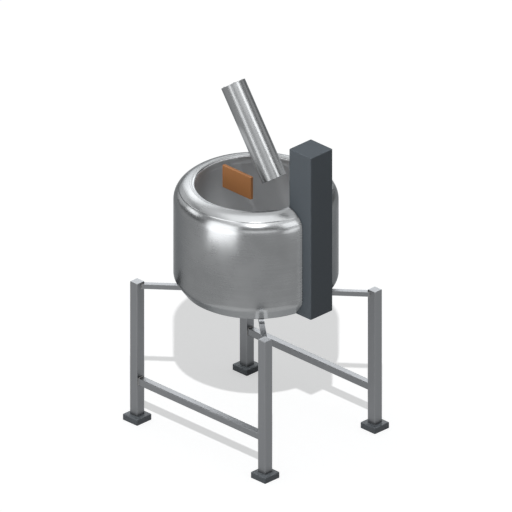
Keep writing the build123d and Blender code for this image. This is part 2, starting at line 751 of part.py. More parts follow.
def motor_pinion():
    phase = DRIVE_ANGLE + 180.0 / PINION_TEETH
    teeth = extrude(gear_outline(PINION_TEETH, phase), GEAR_WIDTH + 2 * PINION_LAP)
    pinion = Pos(0, 0, GEAR_LOW - PINION_LAP) * teeth
    pinion += disc(MOTOR_SHAFT_R, MOTOR_TOP - MOTOR_LENGTH / 2, BOX_TOP - BOX_ROOF / 2 - PINION_LAP)
    return motor_place() * pinion


def agitator_motor():
    low = MOTOR_TOP - MOTOR_LENGTH
    motor = disc(MOTOR_R, low, MOTOR_TOP) + disc(MOTOR_FLANGE_R, MOTOR_TOP - MOTOR_FLANGE, MOTOR_TOP)
    cowl = disc(COWL_R, low, low + COWL_LENGTH)
    motor += chamfer(cowl.faces().sort_by(Axis.Z)[0].edges(), RIB_DEPTH)
    span = MOTOR_LENGTH - COWL_LENGTH - MOTOR_FLANGE
    pitch = span / RIB_COUNT
    for index in range(RIB_COUNT):
        middle = low + COWL_LENGTH + (index + 1 / 2) * pitch
        motor -= ring(MOTOR_R - RIB_DEPTH, MOTOR_R, middle - pitch / 4, middle + pitch / 4)
    motor -= disc(MOTOR_SHAFT_R + FIT, low + MOTOR_LENGTH / 2 - PINION_LAP, MOTOR_TOP)
    return motor_place() * motor


# Outlet
def outlet_pipe():
    pipe = Pos(OUTLET_X, 0, 0) * ring(OUTLET_R, OUTLET_R + PIPE_WALL, PIPE_LOW, DISH_LOW + KNUCKLE_R)
    flange = ring(OUTLET_R, FERRULE_FLANGE_R, PIPE_LOW, PIPE_LOW + FERRULE_FLANGE)
    pipe = pipe - turned(bowl_section(-BOWL_WALL, BOWL_TOP)) + Pos(OUTLET_X, 0, 0) * flange
    return pipe


def valve_body():
    body = disc(VALVE_R, VALVE_LOW, PIPE_LOW)
    body += Pos(0, 0, VALVE_MID) * cross_bar(BOSS_R, -BOSS_REACH, BOSS_REACH)
    low = VALVE_LOW - FERRULE_LENGTH
    body += disc(FERRULE_R + PIPE_WALL, low, VALVE_LOW) + disc(FERRULE_FLANGE_R, low, low + FERRULE_FLANGE)
    body -= disc(OUTLET_R, VALVE_LOW, PIPE_LOW) + disc(FERRULE_R, low, VALVE_LOW)
    body -= Pos(0, 0, VALVE_MID) * cross_bar(STEM_R + FIT, -BOSS_REACH, BOSS_REACH)
    return Pos(OUTLET_X, 0, 0) * body


def valve_disc():
    radius = OUTLET_R - DISC_CLEAR
    plate = disc(radius, -DISC_THICK / 2, DISC_THICK / 2)
    plate += cross_bar(DISC_BOSS_R, -radius, radius)
    plate = plate & Sphere(radius)
    plate += cross_bar(STEM_R, -BOSS_REACH, BOSS_REACH + LEVER_WIDTH + STEM_END)
    return Pos(OUTLET_X, 0, VALVE_MID) * plate


def valve_lever():
    near = BOSS_REACH + GAP
    hub = cross_bar(LEVER_HUB_R, near, near + LEVER_WIDTH)
    grip = slab((-LEVER_LENGTH, 0), (near + LEVER_THIN, near + LEVER_WIDTH - LEVER_THIN),
                (-LEVER_HUB_R / 2, LEVER_HUB_R / 2))
    grip = fillet(grip.edges().filter_by(Axis.Y), LEVER_EDGE)
    lever = hub + grip - cross_bar(STEM_R + FIT, near, near + LEVER_WIDTH)
    return Pos(OUTLET_X, 0, VALVE_MID) * lever


# Baffle
def baffle_plate():
    half_x = BAFFLE_LENGTH / 2
    half_y = BAFFLE_THICK / 2
    half_z = BAFFLE_HEIGHT / 2
    plate = slab((-half_x, half_x), (-half_y, half_y), (-half_z, half_z))
    return Pos(BAFFLE_X, 0, BAFFLE_Z) * chamfer(plate.edges(), BAFFLE_BEVEL)


def baffle_arm():
    half_x = PAD_WIDTH / 2
    half_z = PAD_HEIGHT / 2
    pad = slab((-half_x, half_x), (0, PAD_THICK), (-half_z, half_z))
    pad = Pos(*BAFFLE_BACK) * fillet(pad.edges().filter_by(Axis.Y), PAD_THICK)
    bar = rod(BAFFLE_BACK, REACH * -1, BAFFLE_ROD_R, 0, BAFFLE_ROD)
    behind = slab((-BOWL_R, BOWL_R), (BAFFLE_THICK / 2, BOWL_R), (DISH_LOW, COLUMN_TOP))
    return pad + (bar & behind)


def baffle_socket():
    start = BAFFLE_ROD - SOCKET_DEPTH
    cup = rod(BAFFLE_BACK, REACH * -1, SOCKET_R, start, BAFFLE_ROD + SOCKET_R * 2)
    cup -= rod(BAFFLE_BACK, REACH * -1, BAFFLE_ROD_R + FIT, start, BAFFLE_ROD + OVER)
    return cup & disc(BOWL_R, DISH_LOW, BOWL_TOP)


# Head and its boom
def in_head(shape):
    """Move a shape drawn about the grip point, its Z along the head, to its place."""
    return HEAD_PLANE.location * shape


def at_knuckle(shape):
    return Pos(*KNUCKLE) * shape


def head_tube():
    tube = disc(HEAD_R, HEAD_LOW, HEAD_HIGH)
    neck_limits = (-RAIL_NECK_HALF, RAIL_NECK_HALF)
    head_limits = (-RAIL_HEAD_HALF, RAIL_HEAD_HALF)
    along = (-RAIL_BELOW, RAIL_ABOVE)
    tube += slab((0, HEAD_R + RAIL_NECK), neck_limits, along)
    tube += slab((HEAD_R + RAIL_NECK, RAIL_OUTER), head_limits, along)
    return in_head(tube - disc(HEAD_R - HEAD_WALL, HEAD_LOW, HEAD_HIGH))


def head_cap():
    return in_head(disc(HEAD_R - HEAD_WALL - GAP, HEAD_HIGH - HEAD_CAP, HEAD_HIGH))


def head_motor():
    low = HEAD_LOW + HEAD_MOTOR_LOW
    high = HEAD_LOW + HEAD_MOTOR_HIGH
    spigot = HEAD_R - HEAD_WALL - GAP
    motor = disc(HEAD_MOTOR_R, low, high)
    motor += disc(spigot, low, low + HEAD_CAP) + disc(spigot, high - HEAD_CAP, high)
    return in_head(motor - disc(HEAD_SHAFT_R + FIT, low, (low + high) / 2))


def rotor_shaft():
    high = HEAD_LOW + (HEAD_MOTOR_LOW + HEAD_MOTOR_HIGH) / 2 - OVER
    return in_head(disc(HEAD_SHAFT_R, HEAD_LOW + ROTOR_LOW + ROTOR_HEIGHT / 2, high))


def rotor():
    low = HEAD_LOW + ROTOR_LOW
    hub = disc(ROTOR_HUB_R, low, low + ROTOR_HEIGHT)
    hub = chamfer(hub.faces().sort_by(Axis.Z)[0].edges(), ROTOR_HUB_R / 3)
    curve = ThreePointArc((ROTOR_HUB_R - OVER, 0), VANE_MIDDLE, VANE_TIP)
    vane = Pos(0, 0, low + VANE_STEP) * extrude(trace(curve, VANE_THICK), ROTOR_HEIGHT - 2 * VANE_STEP)
    for index in range(VANE_COUNT):
        hub += Rot(0, 0, index * 360 / VANE_COUNT) * vane
    return in_head(hub - disc(HEAD_SHAFT_R + FIT, low + ROTOR_HEIGHT / 2, low + ROTOR_HEIGHT))


def stator():
    plate_low = HEAD_LOW + SEAL_PLATE_LOW
    plate_high = plate_low + SEAL_PLATE
    body = disc(HEAD_R - HEAD_WALL - GAP, plate_low, plate_high)
    body += disc(SLEEVE_R, plate_high, HEAD_LOW + HEAD_MOTOR_LOW)
    body += ring(SKIRT_R - SKIRT_WALL, SKIRT_R, HEAD_LOW, plate_low)
    slot_low = HEAD_LOW + SLOT_LOW
    slot = slab((0, SKIRT_R + OVER), (-SLOT_WIDTH / 2, SLOT_WIDTH / 2), (slot_low, slot_low + SLOT_HEIGHT))
    for index in range(SLOT_COUNT):
        body -= Rot(0, 0, index * 360 / SLOT_COUNT) * slot
    return in_head(body - disc(HEAD_SHAFT_R + FIT, plate_low, HEAD_LOW + HEAD_MOTOR_LOW))


def carriage():
    near = HEAD_R + CARRIAGE_CLEAR
    far = near + CARRIAGE_DEPTH
    half = CARRIAGE_HALF
    length = CARRIAGE_HALF_LENGTH
    body = slab((near, far), (-half, CARRIAGE_FAR), (-length, length))
    body = fillet(body.edges().filter_by(Axis.X), CARRIAGE_EDGE)
    body += slab((far - OVER, KNUCKLE_REACH), (-WEB_NEAR, WEB_FAR), (-WEB_HALF_HEIGHT, WEB_HALF_HEIGHT))
    neck = RAIL_NECK_HALF + SLIDE_FIT
    head = RAIL_HEAD_HALF + SLIDE_FIT
    body -= slab((near, HEAD_R + RAIL_NECK), (-neck, neck), (-length, length))
    body -= slab((HEAD_R + RAIL_NECK - SLIDE_FIT, RAIL_OUTER + SLIDE_FIT), (-head, head), (-length, length))
    knob_x = HEAD_R + RAIL_NECK + RAIL_HEAD / 2
    body -= Pos(knob_x, 0, 0) * cross_bar(SLIDE_SHANK_R + FIT, -half, -head)
    body = in_head(body)
    body += at_knuckle(cross_bar(BARREL_R, -BARREL_HALF, BARREL_HALF))
    return body - at_knuckle(cross_bar(PIN_R + FIT, -BARREL_HALF, BARREL_HALF))


def slide_knob():
    half = CARRIAGE_HALF
    knob_x = HEAD_R + RAIL_NECK + RAIL_HEAD / 2
    outer = half + GAP + SLIDE_KNOB
    knob = cross_bar(SLIDE_KNOB_R, -outer, -half - GAP)
    knob = fluted(knob, SLIDE_KNOB_R + FLUTE_OUT, GRIP_FLUTES, -outer, -half - GAP)
    knob += cross_bar(SLIDE_SHANK_R, -half - GAP, -RAIL_HEAD_HALF - SLIDE_FIT - GAP)
    return in_head(Pos(knob_x, 0, 0) * knob)


def tilt_pin():
    outer = BARREL_HALF + GAP + EAR_THICK
    pin = cross_bar(PIN_R, -outer - GAP, outer + GAP)
    pin += cross_bar(PIN_HEAD_R, -outer - GAP - PIN_HEAD, -outer - GAP)
    knob = cross_bar(TILT_KNOB_R, outer + GAP, outer + GAP + TILT_KNOB)
    knob = fluted(knob, TILT_KNOB_R + FLUTE_OUT, GRIP_FLUTES, outer + GAP, outer + GAP + TILT_KNOB)
    return at_knuckle(pin + knob)


def boom():
    level = Vector(BACK.X, 0, BACK.Z).normalized()
    fork_plane = Plane(origin=KNUCKLE, x_dir=level, z_dir=(0, 1, 0))
    outer = BARREL_HALF + GAP + EAR_THICK
    reach = BRIDGE_START + BRIDGE
    fork = disc(EAR_R, -outer, outer) + slab((0, reach), (-EAR_R, EAR_R), (-outer, outer))
    inner = BARREL_HALF + GAP
    fork -= slab((-EAR_R, BRIDGE_START), (-EAR_R, EAR_R), (-inner, inner))
    fork -= disc(PIN_R + FIT, -outer, outer)
    arm = rod(KNUCKLE, BACK, BOOM_R, reach, BOOM_LENGTH)
    post = Pos(POST.X, POST.Y, 0) * disc(POST_R, POST_LOW, POST.Z + BOOM_R)
    post = fillet(post.faces().sort_by(Axis.Z)[-1].edges(), POST_R / 3)
    return fork_plane.location * fork + arm + post


def boom_bracket():
    turn = math.degrees(math.atan2(POST.Y, POST.X))
    centre = math.hypot(POST.X, POST.Y)
    half = BRACKET_HALF
    block = slab((0, centre + BRACKET_BACK), (-half, half), (BRACKET_LOW, BRACKET_HIGH))
    block = fillet(block.edges().filter_by(Axis.Z), BRACKET_BACK / 2)
    saddle = disc(KETTLE_R + SADDLE_THICK, BRACKET_LOW, BRACKET_HIGH)
    saddle = saddle & slab((0, KETTLE_R * 2), (-SADDLE_HALF, SADDLE_HALF), (BRACKET_LOW, BRACKET_HIGH))
    bracket = block + saddle - disc(KETTLE_R + SLIDE_FIT, BRACKET_LOW, BRACKET_HIGH)
    bracket -= Pos(centre, 0, 0) * disc(POST_R + FIT, BRACKET_LOW, BRACKET_HIGH)
    return Rot(0, 0, turn) * bracket


LEG_PLACES = ((-LEG_X, -LEG_Y), (LEG_X, -LEG_Y), (LEG_X, LEG_Y), (-LEG_X, LEG_Y))
CORNERS = ("front_left", "front_right", "back_right", "back_left")


def pieces():
    made = {}
    for corner, (x, y) in zip(CORNERS, LEG_PLACES):
        made["leg_" + corner] = leg(x, y)
        made["foot_" + corner] = foot(x, y)
    made["front_rail"] = rail(-LEG_Y)
    made["back_rail"] = rail(LEG_Y)
    made["cradle"] = cradle()
    made["inner_bowl"] = inner_bowl()
    made["outer_jacket"] = outer_jacket()
    made["bottom_cover"] = bottom_cover()
    made["rim_ring"] = rim_ring()
    made["insulation_sleeve"] = insulation_sleeve()
    made["heater_rings"] = heater_rings()
    made["column_shell"] = column_shell()
    made["column_base"] = column_base()
    made["control_panel"] = control_panel()
    made["start_button"] = button(START_Z, BUTTON_PROUD, BUTTON_R, 0)
    made["stop_button"] = button(STOP_Z, STOP_PROUD, STOP_HEAD_R, STOP_HEAD)
    made["speed_knob"] = speed_knob()
    made["drive_controller"] = drive_controller()
    made["cable_gland"] = cable_gland()
    made["bearing_neck"] = bearing_neck()
    made["neck_bearings"] = neck_bearings()
    made["neck_seal"] = neck_seal()
    made["agitator_shaft"] = agitator_shaft()
    made["agitator_hub"] = agitator_hub()
    made["hub_nut"] = hub_nut()
    made["anchor_arm_1"] = anchor_arm(0)
    made["anchor_arm_2"] = anchor_arm(180)
    made["scraper_blade_1"] = scraper_blade(0)
    made["scraper_blade_2"] = scraper_blade(180)
    made["gearbox_housing"] = gearbox_housing()
    made["gearbox_cover"] = gearbox_cover()
    made["drive_gear"] = drive_gear()
    made["motor_pinion"] = motor_pinion()
    made["agitator_motor"] = agitator_motor()
    made["outlet_pipe"] = outlet_pipe()
    made["valve_body"] = valve_body()
    made["valve_disc"] = valve_disc()
    made["valve_lever"] = valve_lever()
    made["baffle_plate"] = baffle_plate()
    made["baffle_arm"] = baffle_arm()
    made["baffle_socket"] = baffle_socket()
    made["head_tube"] = head_tube()
    made["head_cap"] = head_cap()
    made["head_motor"] = head_motor()
    made["rotor_shaft"] = rotor_shaft()
    made["rotor"] = rotor()
    made["stator"] = stator()
    made["carriage"] = carriage()
    made["slide_knob"] = slide_knob()
    made["tilt_pin"] = tilt_pin()
    made["boom"] = boom()
    made["boom_bracket"] = boom_bracket()
    return made


os.makedirs("parts", exist_ok=True)
for name, shape in pieces().items():
    export_step(shape, "parts/" + name + ".step")
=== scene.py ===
import json
import math

import bmesh
import bpy
from mathutils import Matrix, Vector


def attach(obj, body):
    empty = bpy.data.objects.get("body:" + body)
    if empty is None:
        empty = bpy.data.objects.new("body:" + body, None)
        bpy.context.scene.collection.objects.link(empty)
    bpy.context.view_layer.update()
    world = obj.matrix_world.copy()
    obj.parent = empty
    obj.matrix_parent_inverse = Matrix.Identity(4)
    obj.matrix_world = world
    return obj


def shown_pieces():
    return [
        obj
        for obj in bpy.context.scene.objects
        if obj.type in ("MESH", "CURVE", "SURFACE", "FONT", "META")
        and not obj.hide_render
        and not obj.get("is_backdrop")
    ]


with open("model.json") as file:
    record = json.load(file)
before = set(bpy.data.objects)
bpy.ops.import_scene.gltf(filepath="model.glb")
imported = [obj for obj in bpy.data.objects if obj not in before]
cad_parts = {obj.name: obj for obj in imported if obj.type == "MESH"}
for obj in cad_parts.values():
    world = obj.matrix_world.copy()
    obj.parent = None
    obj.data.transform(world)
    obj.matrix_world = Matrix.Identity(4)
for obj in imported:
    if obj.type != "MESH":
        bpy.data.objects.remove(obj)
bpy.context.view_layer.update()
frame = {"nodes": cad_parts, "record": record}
nodes = frame["nodes"]

# Camera: a parallel view from the front right, at the photograph's angle
AZIMUTH = 45.0
ELEVATION = 27.0
VIEW_WIDTH = 1.98
CAMERA_DISTANCE = 6.0
AIM = Vector((0.0, 0.0, 0.727))


def toward(azimuth, elevation):
    """Unit vector towards a place in the studio, by degrees. Azimuth 0 is the front, 90 the column's side."""
    turn = math.radians(azimuth)
    rise = math.radians(elevation)
    return Vector((math.sin(turn) * math.cos(rise), -math.cos(turn) * math.cos(rise), math.sin(rise)))


camera_data = bpy.data.cameras.new("studio_camera")
camera_data.type = "ORTHO"
camera_data.ortho_scale = VIEW_WIDTH
camera = bpy.data.objects.new("studio_camera", camera_data)
bpy.context.scene.collection.objects.link(camera)
sight = toward(AZIMUTH, ELEVATION)
camera.location = AIM + sight * CAMERA_DISTANCE
camera.rotation_euler = (-sight).to_track_quat("-Z", "Y").to_euler()
bpy.context.scene.camera = camera
bpy.context.scene.view_settings.view_transform = "Standard"


# Light: one hard lamp for the floor's shadow, soft panels for the steel, a low even sky
panels = {}


def panel(name, centre, azimuth, elevation, distance, width, height, radiance, receivers=None):
    """A soft panel that faces a point of the object and lights the object alone, or only the named pieces.

    It stands at a distance from the point, along an azimuth and an elevation in degrees. Each receiver is
    the start of a piece's name.
    """
    data = bpy.data.lights.new(name, "AREA")
    data.shape = "RECTANGLE"
    data.size = width
    data.size_y = height
    data.energy = math.pi * width * height * radiance
    lamp = bpy.data.objects.new(name, data)
    direction = toward(azimuth, elevation)
    lamp.location = Vector(centre) + direction * distance
    lamp.rotation_euler = direction.to_track_quat("Z", "Y").to_euler()
    lamp.visible_camera = False
    bpy.context.scene.collection.objects.link(lamp)
    panels[name] = (lamp, receivers)


def light_only(pieces):
    """Keep the panels' light off the floor, so that its white stays even."""
    for name, (lamp, receivers) in panels.items():
        lit = bpy.data.collections.new("lit_by_" + name)
        for piece in pieces:
            if receivers is None or any(piece.name.startswith(start) for start in receivers):
                lit.objects.link(piece)
        lamp.light_linking.receiver_collection = lit


SUN_ELEVATION = 48.0
sun_data = bpy.data.lights.new("key_sun", "SUN")
sun_data.energy = 2.0
sun_data.angle = math.radians(0.8)
sun = bpy.data.objects.new("key_sun", sun_data)
sun.rotation_euler = toward(AZIMUTH, SUN_ELEVATION).to_track_quat("Z", "Y").to_euler()
bpy.context.scene.collection.objects.link(sun)

# Panels: the point faced, azimuth, elevation, distance, width, height, radiance, and the pieces lit
KETTLE = ["outer_jacket", "rim_ring", "rim_weld", "saddle_weld"]
HEAD = ["head_tube", "head_cap"]
STAND = ["leg_", "foot_", "cradle", "front_rail", "back_rail", "rail_welds", "arm_welds"]
# Kettle's wall
panel("kettle_panel", (0.105, 0.0, 1.005), 0.0, 0.0, 0.55, 0.32, 0.39, 4.8, KETTLE)
panel("kettle_side_panel", (0.3, 0.0, 1.0), 96.0, 27.0, 2.5, 1.3, 1.35, 4.5, KETTLE)
panel("kettle_left_panel", (-0.2, 0.0, 1.0), 262.0, 22.0, 2.5, 2.6, 1.6, 1.7, KETTLE)
panel("kettle_window_panel", (-0.1, -0.2, 1.0), -56.0, 25.0, 2.5, 0.95, 0.75, 5.5, KETTLE)
panel("kettle_low_panel", (0.15, -0.15, 0.75), 45.0, -75.0, 0.5, 1.0, 0.8, 0.5, KETTLE)
panel("kettle_camera_panel", (0.0, 0.0, 1.0), 50.0, 4.0, 2.5, 2.2, 0.6, 2.5, KETTLE)
panel("kettle_side_low_panel", (0.3, 0.0, 0.95), 99.0, -2.0, 2.5, 0.9, 0.9, 2.2, KETTLE)
panel("kettle_near_panel", (0.302, -0.122, 0.944), 96.0, 0.0, 0.15, 0.1, 0.07, 1.9, KETTLE)
panel("kettle_top_panel", (0.0, 0.0, 1.0), 45.0, 75.0, 2.0, 2.2, 1.6, 2.0, KETTLE)
# Rim
panel("lip_panel", (-0.2, -0.2, 1.05), 200.0, 12.0, 2.5, 1.3, 1.2, 4.6, KETTLE)
panel("left_lip_panel", (-0.2, -0.2, 1.05), 250.0, 42.0, 2.5, 1.1, 0.8, 2.6, KETTLE)
panel("inner_lip_panel", (-0.167, 0.167, 1.03), 45.0, 12.0, 0.3, 0.5, 0.4, 1.6, ["rim_ring"])
# Head
panel("head_front_panel", (0.0, 0.0, 1.25), 7.0, 3.0, 1.6, 0.45, 1.4, 3.7, HEAD)
panel("head_side_panel", (0.0, 0.0, 1.25), 93.0, 32.0, 2.5, 0.9, 1.4, 4.3, HEAD)
panel("head_middle_panel", (0.0, 0.0, 1.25), 38.0, 26.0, 2.5, 2.6, 1.8, 0.95, HEAD)
panel("head_right_panel", (0.0, 0.0, 1.25), 140.0, 5.0, 2.5, 2.4, 1.8, 0.9, HEAD)
panel("head_low_left_panel", (0.1, 0.0, 1.12), 288.0, -13.0, 0.3, 0.4, 0.25, 0.9, HEAD)
panel("head_low_right_panel", (0.1, 0.0, 1.12), 162.0, -13.0, 0.3, 0.4, 0.25, 0.9, HEAD)
panel("head_low_side_panel", (0.122, -0.016, 1.152), 93.0, 32.0, 0.08, 0.037, 0.11, 4.3, HEAD)
# Column
panel("column_panel", (0.3, 0.0, 0.9), -8.0, 8.0, 2.0, 2.6, 2.8, 3.8, ["column_shell", "control_panel"])
panel("column_low_panel", (0.3, 0.0, 0.6), 0.0, -15.0, 0.8, 0.5, 0.5, 4.0, ["column_shell"])
panel("column_top_panel", (0.3, 0.0, 1.3), 45.0, 89.0, 0.8, 0.6, 0.6, 7.4, ["column_shell"])
# Stand, and the baffle's plate
panel("frame_panel", (0.0, 0.0, 0.7), -8.0, 18.0, 3.0, 2.6, 2.6, 3.2, STAND + ["baffle_plate"])
panel("leg_top_panel", (0.35, -0.3, 0.6), 225.0, 27.0, 0.09, 0.12, 0.08, 2.6, ["leg_front_right"])
panel("arm_panel", (0.257, -0.22, 0.592), 225.0, 27.0, 0.02, 0.16, 0.035, 1.4, ["cradle"])
panel("arm_inner_panel", (0.224, -0.192, 0.588), 225.0, 27.0, 0.02, 0.06, 0.009, 4.0, ["cradle"])
# Small panels in the seams that the steel mirrors: under the kettle and along the column
panel("under_kettle_panel", (0.236, -0.202, 0.6025), 49.4, -89.0, 0.0095, 0.05, 0.12, 0.85, KETTLE)
panel("kettle_seam_panel", (0.302, -0.0625, 0.822), 180.0, 0.0, 0.001, 0.116, 0.444, 0.82, KETTLE)
panel("rim_seam_panel", (0.302, -0.0625, 1.085), 180.0, 0.0, 0.001, 0.116, 0.08, 1.4, KETTLE)
# Wide panels from behind and above
panel("back_panel", (0.0, 0.0, 0.8), 225.0, 30.0, 3.0, 3.2, 1.9, 2.7, KETTLE + STAND)
panel("frame_top_panel", (0.0, 0.0, 0.4), 225.0, 27.0, 3.0, 2.4, 1.4, 2.4, STAND)
panel("foot_panel", (0.0, 0.0, 0.2), 45.0, 89.0, 2.0, 3.0, 3.0, 3.6, ["foot_"])
panel("top_panel", (0.0, 0.0, 1.0), 45.0, 89.0, 2.0, 4.4, 4.4, 1.6)

world = bpy.data.worlds.new("studio_sky")
world.use_nodes = True
sky = world.node_tree.nodes["Background"]
sky.inputs["Color"].default_value = (0.97, 0.99, 1.0, 1.0)
sky.inputs["Strength"].default_value = 0.3
bpy.context.scene.world = world


# Shader building: a mix node keeps its numbers and its colours in sockets of their own
MIX_SHARE = 0
NUMBER_A = 2
NUMBER_B = 3
COLOUR_A = 6
COLOUR_B = 7
COLOUR_OUT = 2


def put(tree, kind, inputs=None, **settings):
    """Add a node with its settings and its inputs' values."""
    node = tree.nodes.new(kind)
    for name, value in settings.items():
        setattr(node, name, value)
    for name, value in (inputs or {}).items():
        node.inputs[name].default_value = value
    return node


def wire(tree, source, target, out=0, into=0):
    """Link one node's output to another's input, each by name or number."""
    tree.links.new(source.outputs[out], target.inputs[into])


def new_group(name, inputs, outputs):
    """A shader group with float or vector inputs and float outputs."""
    group = bpy.data.node_groups.new(name, "ShaderNodeTree")
    for label, kind, value in inputs:
        socket = group.interface.new_socket(label, in_out="INPUT", socket_type=kind)
        if value is not None:
            socket.default_value = value
    for label, kind in outputs:
        group.interface.new_socket(label, in_out="OUTPUT", socket_type=kind)
    return group, put(group, "NodeGroupInput"), put(group, "NodeGroupOutput")


def grain_group():
    """Fine ground lines along a stretched coordinate, and the slow smears of a wiped surface."""
    group, source, target = new_group(
        "ground_grain",
        [("Vector", "NodeSocketVector", None), ("Place", "NodeSocketVector", None),
         ("Low", "NodeSocketFloat", 0.2), ("High", "NodeSocketFloat", 0.4),
         ("Smear", "NodeSocketFloat", 0.5)],
        [("Roughness", "NodeSocketFloat"), ("Height", "NodeSocketFloat"), ("Tone", "NodeSocketFloat")])
    fine = put(group, "ShaderNodeTexNoise", {"Scale": 1.0, "Detail": 5.0, "Roughness": 0.65})
    broad = put(group, "ShaderNodeTexNoise", {"Scale": 5.0, "Detail": 3.0, "Roughness": 0.55})
    wire(group, source, fine, "Vector", "Vector")
    wire(group, source, broad, "Place", "Vector")
    both = put(group, "ShaderNodeMix", data_type="FLOAT")
    wire(group, source, both, "Smear", MIX_SHARE)
    wire(group, fine, both, "Fac", NUMBER_A)
    wire(group, broad, both, "Fac", NUMBER_B)
    spread = put(group, "ShaderNodeMapRange", {"From Min": 0.3, "From Max": 0.7})
    wire(group, both, spread, 0, "Value")
    wire(group, source, spread, "Low", "To Min")
    wire(group, source, spread, "High", "To Max")
    wire(group, spread, target, 0, "Roughness")
    wire(group, fine, target, "Fac", "Height")
    wire(group, both, target, 0, "Tone")
    return group


def edge_group():
    """Where a surface turns an edge: 1 on the edge, 0 on the flats."""
    group, source, target = new_group(
        "edge_mask", [("Width", "NodeSocketFloat", 0.003), ("Gain", "NodeSocketFloat", 4.0)],
        [("Mask", "NodeSocketFloat")])
    round_edge = put(group, "ShaderNodeBevel", samples=6)
    wire(group, source, round_edge, "Width", "Radius")
    plain = put(group, "ShaderNodeNewGeometry")
    dot = put(group, "ShaderNodeVectorMath", operation="DOT_PRODUCT")
    wire(group, round_edge, dot, "Normal", 0)
    wire(group, plain, dot, "Normal", 1)
    flip = put(group, "ShaderNodeMath", {0: 1.0}, operation="SUBTRACT")
    wire(group, dot, flip, "Value", 1)
    gain = put(group, "ShaderNodeMath", operation="MULTIPLY", use_clamp=True)
    wire(group, flip, gain, 0, 0)
    wire(group, source, gain, "Gain", 1)
    wire(group, gain, target, 0, "Mask")
    return group


def speckle_group():
    """The pebbled skin of a moulding, a casting or a powder coat, and its slow unevenness."""
    group, source, target = new_group(
        "pebbled_skin",
        [("Vector", "NodeSocketVector", None), ("Size", "NodeSocketFloat", 400.0),
         ("Low", "NodeSocketFloat", 0.4), ("High", "NodeSocketFloat", 0.6)],
        [("Roughness", "NodeSocketFloat"), ("Height", "NodeSocketFloat"), ("Tone", "NodeSocketFloat")])
    fine = put(group, "ShaderNodeTexNoise", {"Detail": 3.0, "Roughness": 0.6})
    wire(group, source, fine, "Vector", "Vector")
    wire(group, source, fine, "Size", "Scale")
    slow = put(group, "ShaderNodeTexNoise", {"Scale": 7.0, "Detail": 4.0, "Roughness": 0.6})
    wire(group, source, slow, "Vector", "Vector")
    spread = put(group, "ShaderNodeMapRange", {"From Min": 0.3, "From Max": 0.7})
    wire(group, slow, spread, "Fac", "Value")
    wire(group, source, spread, "Low", "To Min")
    wire(group, source, spread, "High", "To Max")
    wire(group, spread, target, 0, "Roughness")
    wire(group, fine, target, "Fac", "Height")
    wire(group, slow, target, "Fac", "Tone")
    return group


GRAIN = grain_group()
EDGE = edge_group()
SKIN = speckle_group()
# Width of the steel's lighter edges: partly rubbed wear, partly a painted highlight along the rounded edges
WORN_HIGHLIGHT_WIDTH = 0.005
GRAIN_DEPTH = 0.0004
PEBBLE_DEPTH = 0.0005
STEEL_EDGE_TINT = (0.45, 0.46, 0.47, 1.0)


def new_material(name, **fixed):
    """A material with one Principled shader, its unvarying values set on the shader's own sockets."""
    material = bpy.data.materials.new(name)
    material.use_nodes = True
    tree = material.node_tree
    shader = tree.nodes["Principled BSDF"]
    for label, value in fixed.items():
        shader.inputs[label.replace("_", " ")].default_value = value
    return material, tree, shader


def coordinates(tree, scale, turn=(0.0, 0.0, 0.0)):
    """Object coordinates, turned to a piece's own axis and stretched along its grain."""
    source = put(tree, "ShaderNodeTexCoord")
    turned = put(tree, "ShaderNodeMapping", {"Rotation": turn})
    stretched = put(tree, "ShaderNodeMapping", {"Scale": scale})
    wire(tree, source, turned, "Object", "Vector")
    wire(tree, turned, stretched, 0, "Vector")
    return source, stretched


def steel(name, dark, light, scale, low, high, smear, depth, turn=(0.0, 0.0, 0.0), worn_and_highlight=0.0):
    """Stainless steel: two tones, uneven gloss, fine ground lines, and lighter edges, partly wear and partly
    painted highlight.
    """
    material, tree, shader = new_material(name, Metallic=1.0, Specular_Tint=STEEL_EDGE_TINT)
    source, stretched = coordinates(tree, scale, turn)
    grain = put(tree, "ShaderNodeGroup", node_tree=GRAIN)
    grain.inputs["Low"].default_value = low
    grain.inputs["High"].default_value = high
    grain.inputs["Smear"].default_value = smear
    wire(tree, stretched, grain, 0, "Vector")
    wire(tree, source, grain, "Object", "Place")
    tone = put(tree, "ShaderNodeMix", data_type="RGBA")
    tone.inputs[COLOUR_A].default_value = (*dark, 1.0)
    tone.inputs[COLOUR_B].default_value = (*light, 1.0)
    wire(tree, grain, tone, "Tone", MIX_SHARE)
    last = tone
    # Lighter edges: partly wear, partly a painted highlight where light would catch the rounded edges
    if worn_and_highlight:
        edge = put(tree, "ShaderNodeGroup", node_tree=EDGE)
        edge.inputs["Width"].default_value = WORN_HIGHLIGHT_WIDTH
        worn_highlight = put(tree, "ShaderNodeMix", data_type="RGBA")
        worn_highlight.inputs[COLOUR_B].default_value = (*[min(1.0, value * worn_and_highlight) for value in light], 1.0)
        wire(tree, edge, worn_highlight, 0, MIX_SHARE)
        wire(tree, tone, worn_highlight, COLOUR_OUT, COLOUR_A)
        last = worn_highlight
    wire(tree, last, shader, COLOUR_OUT, "Base Color")
    wire(tree, grain, shader, "Roughness", "Roughness")
    bump = put(tree, "ShaderNodeBump", {"Strength": depth, "Distance": GRAIN_DEPTH})
    wire(tree, grain, bump, "Height", "Height")
    wire(tree, bump, shader, 0, "Normal")
    return material


